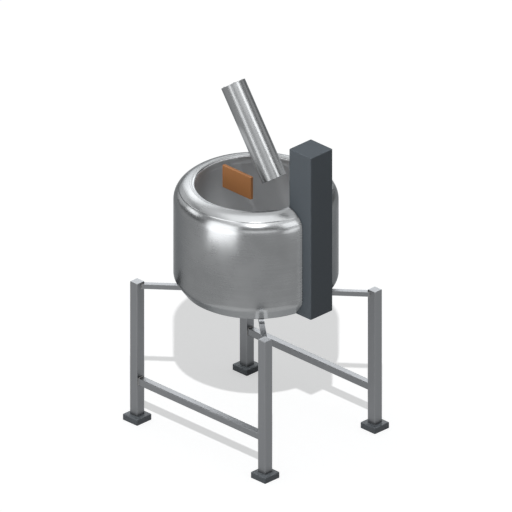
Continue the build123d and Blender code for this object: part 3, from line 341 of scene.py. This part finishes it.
def coated(name, dark, light, size, low, high, depth, edge_colour=None, **fixed):
    """Paint, casting, rubber or moulded plastic: a pebbled skin with slow unevenness and rubbed edges."""
    material, tree, shader = new_material(name, **fixed)
    plain = coordinates(tree, (1.0, 1.0, 1.0))[1]
    skin = put(tree, "ShaderNodeGroup", node_tree=SKIN)
    skin.inputs["Size"].default_value = size
    skin.inputs["Low"].default_value = low
    skin.inputs["High"].default_value = high
    wire(tree, plain, skin, 0, "Vector")
    tone = put(tree, "ShaderNodeMix", data_type="RGBA")
    tone.inputs[COLOUR_A].default_value = (*dark, 1.0)
    tone.inputs[COLOUR_B].default_value = (*light, 1.0)
    wire(tree, skin, tone, "Tone", MIX_SHARE)
    last = tone
    if edge_colour:
        edge = put(tree, "ShaderNodeGroup", node_tree=EDGE)
        rubbed = put(tree, "ShaderNodeMix", data_type="RGBA")
        rubbed.inputs[COLOUR_B].default_value = (*edge_colour, 1.0)
        wire(tree, edge, rubbed, 0, MIX_SHARE)
        wire(tree, tone, rubbed, COLOUR_OUT, COLOUR_A)
        last = rubbed
    wire(tree, last, shader, COLOUR_OUT, "Base Color")
    wire(tree, skin, shader, "Roughness", "Roughness")
    bump = put(tree, "ShaderNodeBump", {"Strength": depth, "Distance": PEBBLE_DEPTH})
    wire(tree, skin, bump, "Height", "Height")
    wire(tree, bump, shader, 0, "Normal")
    return material


# How far the head leans from upright, and how the grain is stretched: rings round an axis, lines up a post
HEAD_LEAN = 0.6
ROUND = (4.0, 4.0, 420.0)
UPRIGHT = (420.0, 420.0, 6.0)

MATERIALS = {
    "polished_stainless": steel(
        "kettle_steel", dark=(0.12, 0.124, 0.127), light=(0.275, 0.281, 0.285), scale=ROUND, low=0.23,
        high=0.32, smear=0.7, depth=0.03),
    # The bowl's inside: rougher steel, its tone lifted well above the outer steel as painted light in the
    # shaded bowl
    "bowl_stainless": steel(
        "bowl_steel", dark=(0.57, 0.577, 0.585), light=(0.66, 0.667, 0.675), scale=ROUND, low=0.42,
        high=0.55, smear=0.6, depth=0.05),
    # Brushed steel gets lighter edges: partly wear, partly a painted highlight
    "brushed_stainless": steel(
        "brushed_steel", dark=(0.16, 0.165, 0.172), light=(0.22, 0.226, 0.234), scale=UPRIGHT, low=0.34,
        high=0.48, smear=0.4, depth=0.1, worn_and_highlight=1.35),
    "head_stainless": steel(
        "head_steel", dark=(0.185, 0.19, 0.193), light=(0.235, 0.24, 0.244), scale=ROUND, low=0.25,
        high=0.31, smear=0.5, depth=0.015, turn=(0.0, HEAD_LEAN, 0.0)),
    "bearing_steel": steel(
        "ground_steel", dark=(0.45, 0.45, 0.46), light=(0.55, 0.55, 0.56), scale=ROUND, low=0.15, high=0.3,
        smear=0.3, depth=0.05),
    "heater_sheath": steel(
        "heater_sheath", dark=(0.16, 0.14, 0.13), light=(0.24, 0.22, 0.2), scale=ROUND, low=0.4, high=0.6,
        smear=0.7, depth=0.1),
    "column_paint": coated(
        "column_paint", dark=(0.0265, 0.031, 0.0355), light=(0.0335, 0.039, 0.044), size=900.0, low=0.42,
        high=0.55, depth=0.08, edge_colour=(0.075, 0.084, 0.097), Specular_IOR_Level=0.08),
    "panel_paint": coated(
        "panel_paint", dark=(0.24, 0.255, 0.27), light=(0.3, 0.315, 0.33), size=900.0, low=0.35, high=0.5,
        depth=0.08, edge_colour=(0.42, 0.44, 0.46)),
    "foot_rubber": coated(
        "foot_rubber", dark=(0.029, 0.033, 0.037), light=(0.044, 0.049, 0.054), size=500.0, low=0.5,
        high=0.75, depth=0.2, edge_colour=(0.09, 0.095, 0.1), Specular_IOR_Level=0.25),
    "seal_rubber": coated(
        "seal_rubber", dark=(0.015, 0.015, 0.016), light=(0.03, 0.03, 0.031), size=500.0, low=0.45,
        high=0.7, depth=0.15),
    "black_plastic": coated(
        "black_plastic", dark=(0.016, 0.016, 0.017), light=(0.028, 0.028, 0.03), size=700.0, low=0.35,
        high=0.55, depth=0.12, edge_colour=(0.06, 0.06, 0.06)),
    "start_plastic": coated(
        "green_plastic", dark=(0.02, 0.22, 0.06), light=(0.03, 0.3, 0.08), size=300.0, low=0.15, high=0.28,
        depth=0.03, Coat_Weight=0.5),
    "stop_plastic": coated(
        "red_plastic", dark=(0.42, 0.015, 0.012), light=(0.52, 0.025, 0.02), size=300.0, low=0.15,
        high=0.28, depth=0.03, Coat_Weight=0.5),
    "brown_plastic": coated(
        "brown_plastic", dark=(0.19, 0.08, 0.027), light=(0.235, 0.1, 0.035), size=260.0, low=0.45,
        high=0.6, depth=0.1, edge_colour=(0.3, 0.15, 0.08), Specular_IOR_Level=0.3),
    "cast_aluminium": coated(
        "cast_aluminium", dark=(0.36, 0.37, 0.38), light=(0.46, 0.47, 0.48), size=350.0, low=0.4, high=0.6,
        depth=0.25, edge_colour=(0.62, 0.63, 0.64), Metallic=1.0),
    "motor_paint": coated(
        "motor_enamel", dark=(0.05, 0.06, 0.075), light=(0.075, 0.085, 0.1), size=300.0, low=0.3,
        high=0.45, depth=0.15, edge_colour=(0.14, 0.15, 0.16)),
    "mark_paint": coated(
        "mark_paint", dark=(0.62, 0.62, 0.6), light=(0.74, 0.74, 0.72), size=900.0, low=0.4, high=0.55,
        depth=0.05),
    "weld_steel": steel(
        "weld_steel", dark=(0.2, 0.19, 0.18), light=(0.34, 0.33, 0.32), scale=(60.0, 60.0, 60.0), low=0.25,
        high=0.45, smear=0.3, depth=0.3),
    "mineral_wool": coated(
        "mineral_wool", dark=(0.35, 0.31, 0.2), light=(0.5, 0.46, 0.32), size=160.0, low=0.85, high=0.95,
        depth=0.6),
}

slot_of = {row["node"]: row["material_slot"] for row in frame["record"]["subparts"]}
for name, thing in nodes.items():
    thing.data.materials.clear()
    thing.data.materials.append(MATERIALS[slot_of[name]])
# The inside of the bowl takes the lighter steel, painted light in its shade
nodes["inner_bowl"].data.materials[0] = MATERIALS["bowl_stainless"]


# Floor: pale, and white where the lamps reach it; it keeps the shadow
FLOOR_TONE = (0.72, 0.72, 0.72, 1.0)
FLOOR_GLOW = 0.47
FLOOR_RADIUS = 30.0


def floor_material():
    """Pale grey, with a white glow that only the camera and mirrored or passing rays see."""
    material = bpy.data.materials.new("pale_floor")
    material.use_nodes = True
    tree = material.node_tree
    tree.nodes.remove(tree.nodes["Principled BSDF"])
    diffuse = put(tree, "ShaderNodeBsdfDiffuse", {"Color": FLOOR_TONE})
    glow = put(tree, "ShaderNodeEmission", {"Color": (1.0, 1.0, 1.0, 1.0)})
    rays = put(tree, "ShaderNodeLightPath")
    first = put(tree, "ShaderNodeMath", operation="MAXIMUM")
    second = put(tree, "ShaderNodeMath", operation="MAXIMUM")
    share = put(tree, "ShaderNodeMath", {1: FLOOR_GLOW}, operation="MULTIPLY")
    wire(tree, rays, first, "Is Camera Ray", 0)
    wire(tree, rays, first, "Is Glossy Ray", 1)
    wire(tree, first, second, 0, 0)
    wire(tree, rays, second, "Is Transmission Ray", 1)
    wire(tree, second, share, 0, 0)
    wire(tree, share, glow, 0, "Strength")
    both = put(tree, "ShaderNodeAddShader")
    wire(tree, diffuse, both, 0, 0)
    wire(tree, glow, both, 0, 1)
    wire(tree, both, tree.nodes["Material Output"], 0, "Surface")
    return material


def floor():
    """A wide disc under the feet, which belongs to the studio and not to the object."""
    mesh = bpy.data.meshes.new("studio_floor")
    made = bmesh.new()
    bmesh.ops.create_circle(made, cap_ends=True, segments=64, radius=FLOOR_RADIUS)
    made.to_mesh(mesh)
    made.free()
    mesh.materials.append(floor_material())
    thing = bpy.data.objects.new("studio_floor", mesh)
    bpy.context.scene.collection.objects.link(thing)
    thing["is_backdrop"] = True


# Repeated pieces: each tree grows them on a seed mesh, with its sizes as named inputs
def new_tree(name, inputs):
    """A geometry tree that takes a seed mesh, its own sizes and a material."""
    tree = bpy.data.node_groups.new(name, "GeometryNodeTree")
    tree.interface.new_socket("Seed", in_out="INPUT", socket_type="NodeSocketGeometry")
    for label, kind, value in inputs + [("Material", "NodeSocketMaterial", None)]:
        socket = tree.interface.new_socket(label, in_out="INPUT", socket_type=kind)
        if value is not None:
            socket.default_value = value
    tree.interface.new_socket("Geometry", in_out="OUTPUT", socket_type="NodeSocketGeometry")
    return tree, put(tree, "NodeGroupInput"), put(tree, "NodeGroupOutput")


def times(tree, source, label, factor):
    """A tree's named size times a factor."""
    node = put(tree, "ShaderNodeMath", {1: factor}, operation="MULTIPLY")
    wire(tree, source, node, label, 0)
    return node


def end_tree(tree, source, instances, target):
    """Make the copies real, give them the material, and close the tree."""
    real = put(tree, "GeometryNodeRealizeInstances")
    finish = put(tree, "GeometryNodeSetMaterial")
    wire(tree, instances, real, "Instances", "Geometry")
    wire(tree, real, finish, 0, "Geometry")
    wire(tree, source, finish, "Material", "Material")
    wire(tree, finish, target, 0, 0)
    return tree


def lifted(tree, shape, height):
    """Raise a shape by a worked-out height."""
    offset = put(tree, "ShaderNodeCombineXYZ")
    move = put(tree, "GeometryNodeTransform")
    wire(tree, height, offset, 0, "Z")
    wire(tree, shape, move, "Mesh", "Geometry")
    wire(tree, offset, move, 0, "Translation")
    return move


# A screw head's proportions: its crown's height and width, and how far its socket and its seat are raised
CROWN_SHARE = 0.2
CROWN_WIDTH = 0.82
SOCKET_RAISE = 0.75
SEAT_RAISE = 0.46


def screw_tree():
    """Screw heads with a crowned edge and a hexagon socket, one on each seed vertex, along its facing."""
    tree, source, target = new_tree("screw_heads", [
        ("Sides", "NodeSocketInt", 24), ("Head Radius", "NodeSocketFloat", 0.004),
        ("Head Height", "NodeSocketFloat", 0.003), ("Socket Radius", "NodeSocketFloat", 0.002)])
    head = put(tree, "GeometryNodeMeshCylinder")
    wire(tree, source, head, "Sides", "Vertices")
    wire(tree, source, head, "Head Radius", "Radius")
    wire(tree, source, head, "Head Height", "Depth")
    crown = put(tree, "GeometryNodeExtrudeMesh", mode="FACES")
    wire(tree, head, crown, "Mesh", "Mesh")
    wire(tree, head, crown, "Top", "Selection")
    wire(tree, times(tree, source, "Head Height", CROWN_SHARE), crown, 0, "Offset Scale")
    draw_in = put(tree, "GeometryNodeScaleElements", {"Scale": CROWN_WIDTH})
    wire(tree, crown, draw_in, "Mesh", "Geometry")
    wire(tree, crown, draw_in, "Top", "Selection")
    prism = put(tree, "GeometryNodeMeshCylinder", {"Vertices": 6})
    wire(tree, source, prism, "Socket Radius", "Radius")
    wire(tree, source, prism, "Head Height", "Depth")
    raised = lifted(tree, prism, times(tree, source, "Head Height", SOCKET_RAISE))
    cut = put(tree, "GeometryNodeMeshBoolean", operation="DIFFERENCE")
    wire(tree, draw_in, cut, 0, "Mesh 1")
    wire(tree, raised, cut, 0, "Mesh 2")
    seated = lifted(tree, cut, times(tree, source, "Head Height", SEAT_RAISE))
    facing = put(tree, "GeometryNodeInputNamedAttribute", {"Name": "facing"}, data_type="FLOAT_VECTOR")
    turn = put(tree, "FunctionNodeAlignRotationToVector", axis="Z")
    wire(tree, facing, turn, 0, "Vector")
    heads = put(tree, "GeometryNodeInstanceOnPoints")
    wire(tree, source, heads, "Seed", "Points")
    wire(tree, seated, heads, 0, "Instance")
    wire(tree, turn, heads, 0, "Rotation")
    return end_tree(tree, source, heads, target)


def marks_tree():
    """Short bars round an arc, pointing outwards, from one seed vertex."""
    tree, source, target = new_tree("arc_marks", [
        ("Count", "NodeSocketInt", 11), ("Step", "NodeSocketFloat", 0.4), ("Start", "NodeSocketFloat", 0.0),
        ("Reach", "NodeSocketFloat", 0.02), ("Size", "NodeSocketVector", None)])
    bar = put(tree, "GeometryNodeMeshCube")
    wire(tree, source, bar, "Size", "Size")
    placed = put(tree, "ShaderNodeCombineXYZ")
    wire(tree, source, placed, "Reach", "X")
    out = put(tree, "GeometryNodeTransform")
    wire(tree, bar, out, "Mesh", "Geometry")
    wire(tree, placed, out, 0, "Translation")
    points = put(tree, "GeometryNodePoints")
    wire(tree, source, points, "Count", "Count")
    index = put(tree, "GeometryNodeInputIndex")
    angle = put(tree, "ShaderNodeMath", operation="MULTIPLY_ADD")
    wire(tree, index, angle, 0, 0)
    wire(tree, source, angle, "Step", 1)
    wire(tree, source, angle, "Start", 2)
    turn = put(tree, "ShaderNodeCombineXYZ")
    wire(tree, angle, turn, 0, "Z")
    bars = put(tree, "GeometryNodeInstanceOnPoints")
    wire(tree, points, bars, 0, "Points")
    wire(tree, out, bars, 0, "Instance")
    wire(tree, turn, bars, 0, "Rotation")
    return end_tree(tree, source, bars, target)


RIPPLE_SQUASH = (1.0, 1.0, 0.7)


def weld_tree():
    """A weld's overlapping ripples along the seed's edges."""
    tree, source, target = new_tree("weld_ripples", [
        ("Bead Radius", "NodeSocketFloat", 0.002), ("Pitch", "NodeSocketFloat", 0.0016)])
    path = put(tree, "GeometryNodeMeshToCurve")
    wire(tree, source, path, "Seed", 0)
    spaced = put(tree, "GeometryNodeResampleCurve", mode="LENGTH")
    wire(tree, path, spaced, 0, "Curve")
    wire(tree, source, spaced, "Pitch", "Length")
    drop = put(tree, "GeometryNodeMeshUVSphere", {"Segments": 10, "Rings": 6})
    wire(tree, source, drop, "Bead Radius", "Radius")
    along = put(tree, "GeometryNodeInputTangent")
    turn = put(tree, "FunctionNodeAlignRotationToVector", axis="Z")
    wire(tree, along, turn, 0, "Vector")
    drops = put(tree, "GeometryNodeInstanceOnPoints", {"Scale": RIPPLE_SQUASH})
    wire(tree, spaced, drops, 0, "Points")
    wire(tree, drop, drops, "Mesh", "Instance")
    wire(tree, turn, drops, 0, "Rotation")
    return end_tree(tree, source, drops, target)


def add_piece(name, mesh, body):
    """Put a mesh in the scene as a piece of its own, riding on a body."""
    thing = bpy.data.objects.new(name, mesh)
    bpy.context.scene.collection.objects.link(thing)
    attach(thing, body)


def grown(name, tree, seed_mesh, finish, slot, body, place=None, **sizes):
    """Run a tree on a seed mesh with its sizes set, and keep the result as a plain piece."""
    seed = bpy.data.objects.new(name + "_seed", seed_mesh)
    bpy.context.scene.collection.objects.link(seed)
    modifier = seed.modifiers.new("grow", "NODES")
    modifier.node_group = tree
    keys = {item.name: item.identifier for item in tree.interface.items_tree if item.in_out == "INPUT"}
    for label, value in sizes.items():
        modifier[keys[label.replace("_", " ")]] = value
    modifier[keys["Material"]] = MATERIALS[finish]
    mesh = bpy.data.meshes.new_from_object(seed.evaluated_get(bpy.context.evaluated_depsgraph_get()))
    seed.modifiers.remove(modifier)
    bpy.data.objects.remove(seed)
    mesh.name = name
    if place:
        mesh.transform(place)
    add_piece(name, mesh, body)


def seats(places):
    """Seed vertices, each with the direction that its screw faces."""
    mesh = bpy.data.meshes.new("seats")
    mesh.from_pydata([point for point, _ in places], [], [])
    facing = mesh.attributes.new("facing", "FLOAT_VECTOR", "POINT")
    for index, (_, direction) in enumerate(places):
        facing.data[index].vector = direction
    return mesh


def paths(routes, closed=True):
    """Seed edges along routes, each a list of points."""
    mesh = bpy.data.meshes.new("paths")
    points = []
    edges = []
    for route in routes:
        first = len(points)
        points.extend(route)
        spans = len(route) if closed else len(route) - 1
        edges.extend((first + step, first + (step + 1) % len(route)) for step in range(spans))
    mesh.from_pydata(points, edges, [])
    return mesh


SCREWS = screw_tree()
MARKS = marks_tree()
WELDS = weld_tree()


def ring_mesh(profile, count):
    """A closed ring: a section's points, as radius and height, turned about the kettle's axis."""
    made = bmesh.new()
    rows = []
    for index in range(count):
        angle = 2.0 * math.pi * index / count
        rows.append([made.verts.new((r * math.cos(angle), r * math.sin(angle), z)) for r, z in profile])
    for index, row in enumerate(rows):
        after = rows[(index + 1) % count]
        for place in range(len(profile)):
            far = (place + 1) % len(profile)
            face = made.faces.new((row[place], after[place], after[far], row[far]))
            face.smooth = True
    bmesh.ops.recalc_face_normals(made, faces=made.faces)
    return made


def finished(name, made, material, body):
    """Turn mesh data into a piece with its finish, riding on a body."""
    mesh = bpy.data.meshes.new(name)
    made.to_mesh(mesh)
    made.free()
    mesh.materials.append(material)
    add_piece(name, mesh, body)


# Rim: the bead and the shoulder as radius, height and section radius, half the width of the column's
# pocket, the weld between bead and shoulder, and the seam inside with its back as radius and height
BEAD = (0.25, 1.033, 0.014)
SHOULDER = (0.256, 0.975, 0.064)
POCKET_HALF = 0.0603
POCKET_CLEAR = POCKET_HALF - 1e-5
WELD_PROUD = 0.00025
RING_STEPS = 192
FAIRING_START = math.radians(12.0)
FAIRING_STOP = math.radians(44.0)
FAIRING_STEPS = 12
FAIRING_PULL = 0.38
SEAM_START = 145.0
SEAM_SWEEP = 35.0
SEAM_STEPS = 6
SEAM_FOOT = 1.012
SEAM_BACK = [(0.2362, 1.0108), (0.2375, 1.012), (0.2385, 1.03), (0.2398, 1.038)]


def rim_weld():
    """The ground weld that fairs the bead into the shoulder, parted where the column stands."""
    bead_r, bead_z, bead_size = BEAD
    side_r, side_z, side_size = SHOULDER
    start, stop = FAIRING_START, FAIRING_STOP
    first = Vector((bead_r + bead_size * math.sin(start), bead_z + bead_size * math.cos(start)))
    last = Vector((side_r + side_size * math.sin(stop), side_z + side_size * math.cos(stop)))
    proud = Vector((0.0, WELD_PROUD))
    out = Vector((math.cos(start), -math.sin(start)))
    back = Vector((-math.cos(stop), math.sin(stop)))
    reach = (last - first).length * FAIRING_PULL
    points = []
    for step in range(FAIRING_STEPS + 1):
        t = step / FAIRING_STEPS
        one = first * (1 - t) ** 3 + (first + out * reach) * 3 * t * (1 - t) ** 2
        two = (last + back * reach) * 3 * t ** 2 * (1 - t) + last * t ** 3
        points.append(one + two + proud)
    under = [(last.x - 0.003, last.y - 0.003), (bead_r + 0.013, bead_z), (first.x - 0.001, first.y - 0.004)]
    made = ring_mesh([(point.x, point.y) for point in points] + under, RING_STEPS)
    for y in (POCKET_HALF, -POCKET_HALF):
        everything = made.verts[:] + made.edges[:] + made.faces[:]
        bmesh.ops.bisect_plane(made, geom=everything, plane_co=(0, y, 0), plane_no=(0, 1, 0))
    inside = [vert for vert in made.verts if vert.co.x > 0 and abs(vert.co.y) < POCKET_CLEAR]
    bmesh.ops.delete(made, geom=inside, context="VERTS")
    centres = [(face, face.calc_center_median()) for face in made.faces]
    across = [face for face, centre in centres if centre.x > 0 and abs(centre.y) < POCKET_CLEAR]
    bmesh.ops.delete(made, geom=across, context="FACES")
    open_edges = [edge for edge in made.edges if edge.is_boundary]
    bmesh.ops.holes_fill(made, edges=open_edges, sides=0)
    bmesh.ops.recalc_face_normals(made, faces=made.faces)
    finished("rim_weld", made, MATERIALS["polished_stainless"], "stand")


def lip_weld():
    """The ground seam inside the bowl, where the bead meets the bowl's wall."""
    bead_r, bead_z, bead_size = BEAD
    skin = bead_size + WELD_PROUD
    profile = []
    for step in range(SEAM_STEPS + 1):
        turn = math.radians(SEAM_START + SEAM_SWEEP * step / SEAM_STEPS)
        profile.append((bead_r + skin * math.cos(turn), bead_z + skin * math.sin(turn)))
    # Back up behind the seam, inside the bead
    profile += [(bead_r - skin, SEAM_FOOT)] + SEAM_BACK
    # The seam takes the bowl's lighter steel, painted light inside the bowl
    finished("lip_weld", ring_mesh(profile, RING_STEPS), MATERIALS["bowl_stainless"],
             "stand")


rim_weld()
lip_weld()


# Controls: the panel's screws, the speed scale and the knob's pointer
COLUMN_AXIS = 0.3
PANEL_FACE = 0.063
PANEL_SCREW_SIDE = 0.039
PANEL_SCREW_HEIGHTS = (1.088, 1.272)
KNOB_HEIGHT = 1.25
KNOB_FRONT = PANEL_FACE + 0.0162
SCALE_MARKS = 11
SCALE_STEP = math.radians(27.0)
TWELVE_O_CLOCK = math.radians(-90.0)
TO_BACK = Matrix.Rotation(-math.pi / 2, 4, "X")


def controls():
    """The panel's four screws, the marks round the knob, and the knob's pointer."""
    corners = [((COLUMN_AXIS + side, PANEL_FACE, height), (0, 1, 0))
               for side in (-PANEL_SCREW_SIDE, PANEL_SCREW_SIDE) for height in PANEL_SCREW_HEIGHTS]
    grown("panel_screws", SCREWS, seats(corners), "bearing_steel", "bearing_steel", "stand",
          Head_Radius=0.0035, Head_Height=0.0018, Socket_Radius=0.0017)
    knob = Matrix.Translation((COLUMN_AXIS, PANEL_FACE, KNOB_HEIGHT)) @ TO_BACK
    lone = seats([((0, 0, 0), (0, 0, 1))])
    grown("speed_scale", MARKS, lone, "black_plastic", "black_plastic", "stand", knob, Count=SCALE_MARKS,
          Step=SCALE_STEP, Start=TWELVE_O_CLOCK, Reach=0.0215, Size=(0.004, 0.0008, 0.0004))
    grown("speed_pointer", MARKS, lone, "mark_paint", "panel_paint", "speed_dial",
          Matrix.Translation((COLUMN_AXIS, KNOB_FRONT, KNOB_HEIGHT)) @ TO_BACK, Count=1, Step=0.0,
          Start=TWELVE_O_CLOCK, Reach=0.0119, Size=(0.0072, 0.0018, 0.0018))


# Drive and outlet: the gearbox cover's screws, those under the column, the valve's bolts, the cowl's slots
COVER_CIRCLE = 0.064
COVER_FACE = 0.542
COLUMN_FOOT = 0.6
COLUMN_SCREW_SIDE = 0.042
OUTLET_X = -0.15
VALVE_CIRCLE = 0.0295
VALVE_FLANGE = 0.52
FAN_COWL = (-0.0566, 0.0566, 0.44)
DOWN = (0, 0, -1)


def round_places(centre, radius, height, angles):
    """Places on a level circle, each facing down. The centre is on the X axis."""
    places = []
    for angle in angles:
        turn = math.radians(angle)
        places.append(((centre + radius * math.cos(turn), radius * math.sin(turn), height), DOWN))
    return places


def drive():
    """Screws under the gearbox and the column, the valve's bolts, and the slots of the motor's cowl."""
    screws = round_places(0.0, COVER_CIRCLE, COVER_FACE, (0, 45, 90, 180, 225, 270, 315))
    screws += [((COLUMN_AXIS + x, y, COLUMN_FOOT), DOWN) for x in (-COLUMN_SCREW_SIDE, COLUMN_SCREW_SIDE)
               for y in (-COLUMN_SCREW_SIDE, COLUMN_SCREW_SIDE)]
    grown("cover_screws", SCREWS, seats(screws), "bearing_steel", "bearing_steel", "stand",
          Head_Radius=0.0042, Head_Height=0.0035, Socket_Radius=0.002)
    bolts = round_places(OUTLET_X, VALVE_CIRCLE, VALVE_FLANGE, (45, 135, 225, 315))
    grown("valve_bolts", SCREWS, seats(bolts), "bearing_steel", "bearing_steel", "stand", Sides=6,
          Head_Radius=0.0045, Head_Height=0.0035, Socket_Radius=0.0008)
    lone = seats([((0, 0, 0), (0, 0, 1))])
    grown("cowl_slots", MARKS, lone, "black_plastic", "black_plastic", "stand",
          Matrix.Translation(FAN_COWL), Count=20, Step=math.radians(18.0), Start=0.0, Reach=0.024,
          Size=(0.022, 0.003, 0.0008))


# Arms over the bowl: the plate's bolts behind it, the bracket's clamp bolts and the head's end screws
PLATE_BACK = 0.012
PLATE_BOLTS = [(x, PLATE_BACK, z) for x in (-0.117, -0.083) for z in (0.988, 1.038)]
POST = Vector((-0.24, 0.254, 0.0))
BRACKET_OUT = 0.334
BRACKET_SIDE = 0.03
BRACKET_HEIGHTS = (0.948, 0.98)
LEAN = Vector((-math.sin(HEAD_LEAN), 0.0, math.cos(HEAD_LEAN)))
HEAD_LENGTH = 0.4
HEAD_END = Vector((0.1, 0.0, 1.1)) + LEAN * HEAD_LENGTH
END_CIRCLE = 0.038


def arms():
    """Bolts behind the baffle's plate and through the boom's bracket, and screws in the head's end."""
    bolts = [(place, (0, 1, 0)) for place in PLATE_BOLTS]
    grown("baffle_bolts", SCREWS, seats(bolts), "bearing_steel", "bearing_steel", "stand", Sides=6,
          Head_Radius=0.0045, Head_Height=0.003, Socket_Radius=0.0008)
    outward = POST.normalized()
    side = Vector((-outward.y, outward.x, 0.0))
    clamps = []
    for way in (-1, 1):
        for z in BRACKET_HEIGHTS:
            seat = outward * BRACKET_OUT + side * BRACKET_SIDE * way + Vector((0, 0, z))
            clamps.append((tuple(seat), tuple(side * way)))
    grown("bracket_bolts", SCREWS, seats(clamps), "bearing_steel", "bearing_steel", "stand", Sides=6,
          Head_Radius=0.0055, Head_Height=0.0045, Socket_Radius=0.001)
    across = Vector((LEAN.z, 0.0, -LEAN.x))
    ends = []
    for angle in (45, 135, 225, 315):
        turn = math.radians(angle)
        out = across * math.cos(turn) + Vector((0, 1, 0)) * math.sin(turn)
        ends.append((tuple(HEAD_END + out * END_CIRCLE), tuple(LEAN)))
    grown("head_screws", SCREWS, seats(ends), "bearing_steel", "bearing_steel", "mixing_head",
          Head_Radius=0.0035, Head_Height=0.002, Socket_Radius=0.0017)


# Agitator: the screws that hold each scraper to its arm, found on the blade's own face
DISH_CENTRE = 1.045
DISH_R = 0.4
SCREW_RISE = 0.013
SCREW_RADII = (0.085, 0.115, 0.145, 0.175)
ARM_TURN = math.radians(20.0)
CAST_FROM = 0.05
SQUARE_ON = 0.9


def scraper_screws():
    """Four screws on each blade, where a ray from beside it meets its flat."""
    places = []
    for blade, way in (("scraper_blade_1", 0.0), ("scraper_blade_2", math.pi)):
        outward = Vector((math.cos(ARM_TURN + way), math.sin(ARM_TURN + way), 0.0))
        across = Vector((-outward.y, outward.x, 0.0))
        for radius in SCREW_RADII:
            height = DISH_CENTRE - math.sqrt(DISH_R ** 2 - radius ** 2) + SCREW_RISE
            start = outward * radius + across * CAST_FROM + Vector((0, 0, height))
            hit, point, normal, _ = nodes[blade].ray_cast(start, -across)
            if hit and normal.dot(across) > SQUARE_ON:
                places.append((tuple(point), tuple(across)))
    grown("scraper_screws", SCREWS, seats(places), "bearing_steel", "bearing_steel", "agitator",
          Head_Radius=0.0045, Head_Height=0.0025, Socket_Radius=0.002)


# Welds: rails to legs, cradle arms to legs, and the boom's saddle to the kettle's wall
RAIL_END = 0.33
LEG_Y = 0.3
RAIL_HEIGHT = 0.175
RAIL_OUTLINE = ((-0.011, -0.015), (0.011, -0.015), (0.015, -0.011), (0.015, 0.011), (0.011, 0.015),
                (-0.011, 0.015), (-0.015, 0.011), (-0.015, -0.011))
ARM_OUTLINE = ((0.33, 0.296, 0.592), (0.33, 0.28, 0.592), (0.342, 0.28, 0.592),
               (0.342, 0.28, 0.572), (0.33, 0.28, 0.572), (0.33, 0.296, 0.572))
SADDLE_FACE_R = 0.322
SADDLE_R = 0.3205
SADDLE_HALF = 0.052
SADDLE_LOW = 0.93
SADDLE_HIGH = 0.973
SADDLE_STEPS = 10


def welds():
    """Ripples round each rail's end, round each cradle arm's end, and along the saddle's foot and sides."""
    rails = []
    for x in (-RAIL_END, RAIL_END):
        for y in (-LEG_Y, LEG_Y):
            rails.append([(x, y + across, RAIL_HEIGHT + up) for across, up in RAIL_OUTLINE])
    grown("rail_welds", WELDS, paths(rails), "weld_steel", "brushed_stainless", "stand",
          Bead_Radius=0.0019, Pitch=0.0017)
    stubs = []
    for x in (-1, 1):
        for y in (-1, 1):
            stubs.append([(x * place[0], y * place[1], place[2]) for place in ARM_OUTLINE])
    grown("arm_welds", WELDS, paths(stubs), "weld_steel", "brushed_stainless", "stand",
          Bead_Radius=0.0017, Pitch=0.0016)
    middle = math.atan2(POST.y, POST.x)
    spread = math.asin(SADDLE_HALF / SADDLE_FACE_R)
    route = []
    for step in range(SADDLE_STEPS + 1):
        angle = middle + spread * (2 * step / SADDLE_STEPS - 1)
        route.append((SADDLE_R * math.cos(angle), SADDLE_R * math.sin(angle), SADDLE_LOW))
    route = [(*route[0][:2], SADDLE_HIGH)] + route + [(*route[-1][:2], SADDLE_HIGH)]
    grown("saddle_weld", WELDS, paths([route], closed=False), "weld_steel", "polished_stainless", "stand",
          Bead_Radius=0.0021, Pitch=0.0018)


controls()
drive()
arms()
scraper_screws()
welds()
floor()
light_only(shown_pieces())
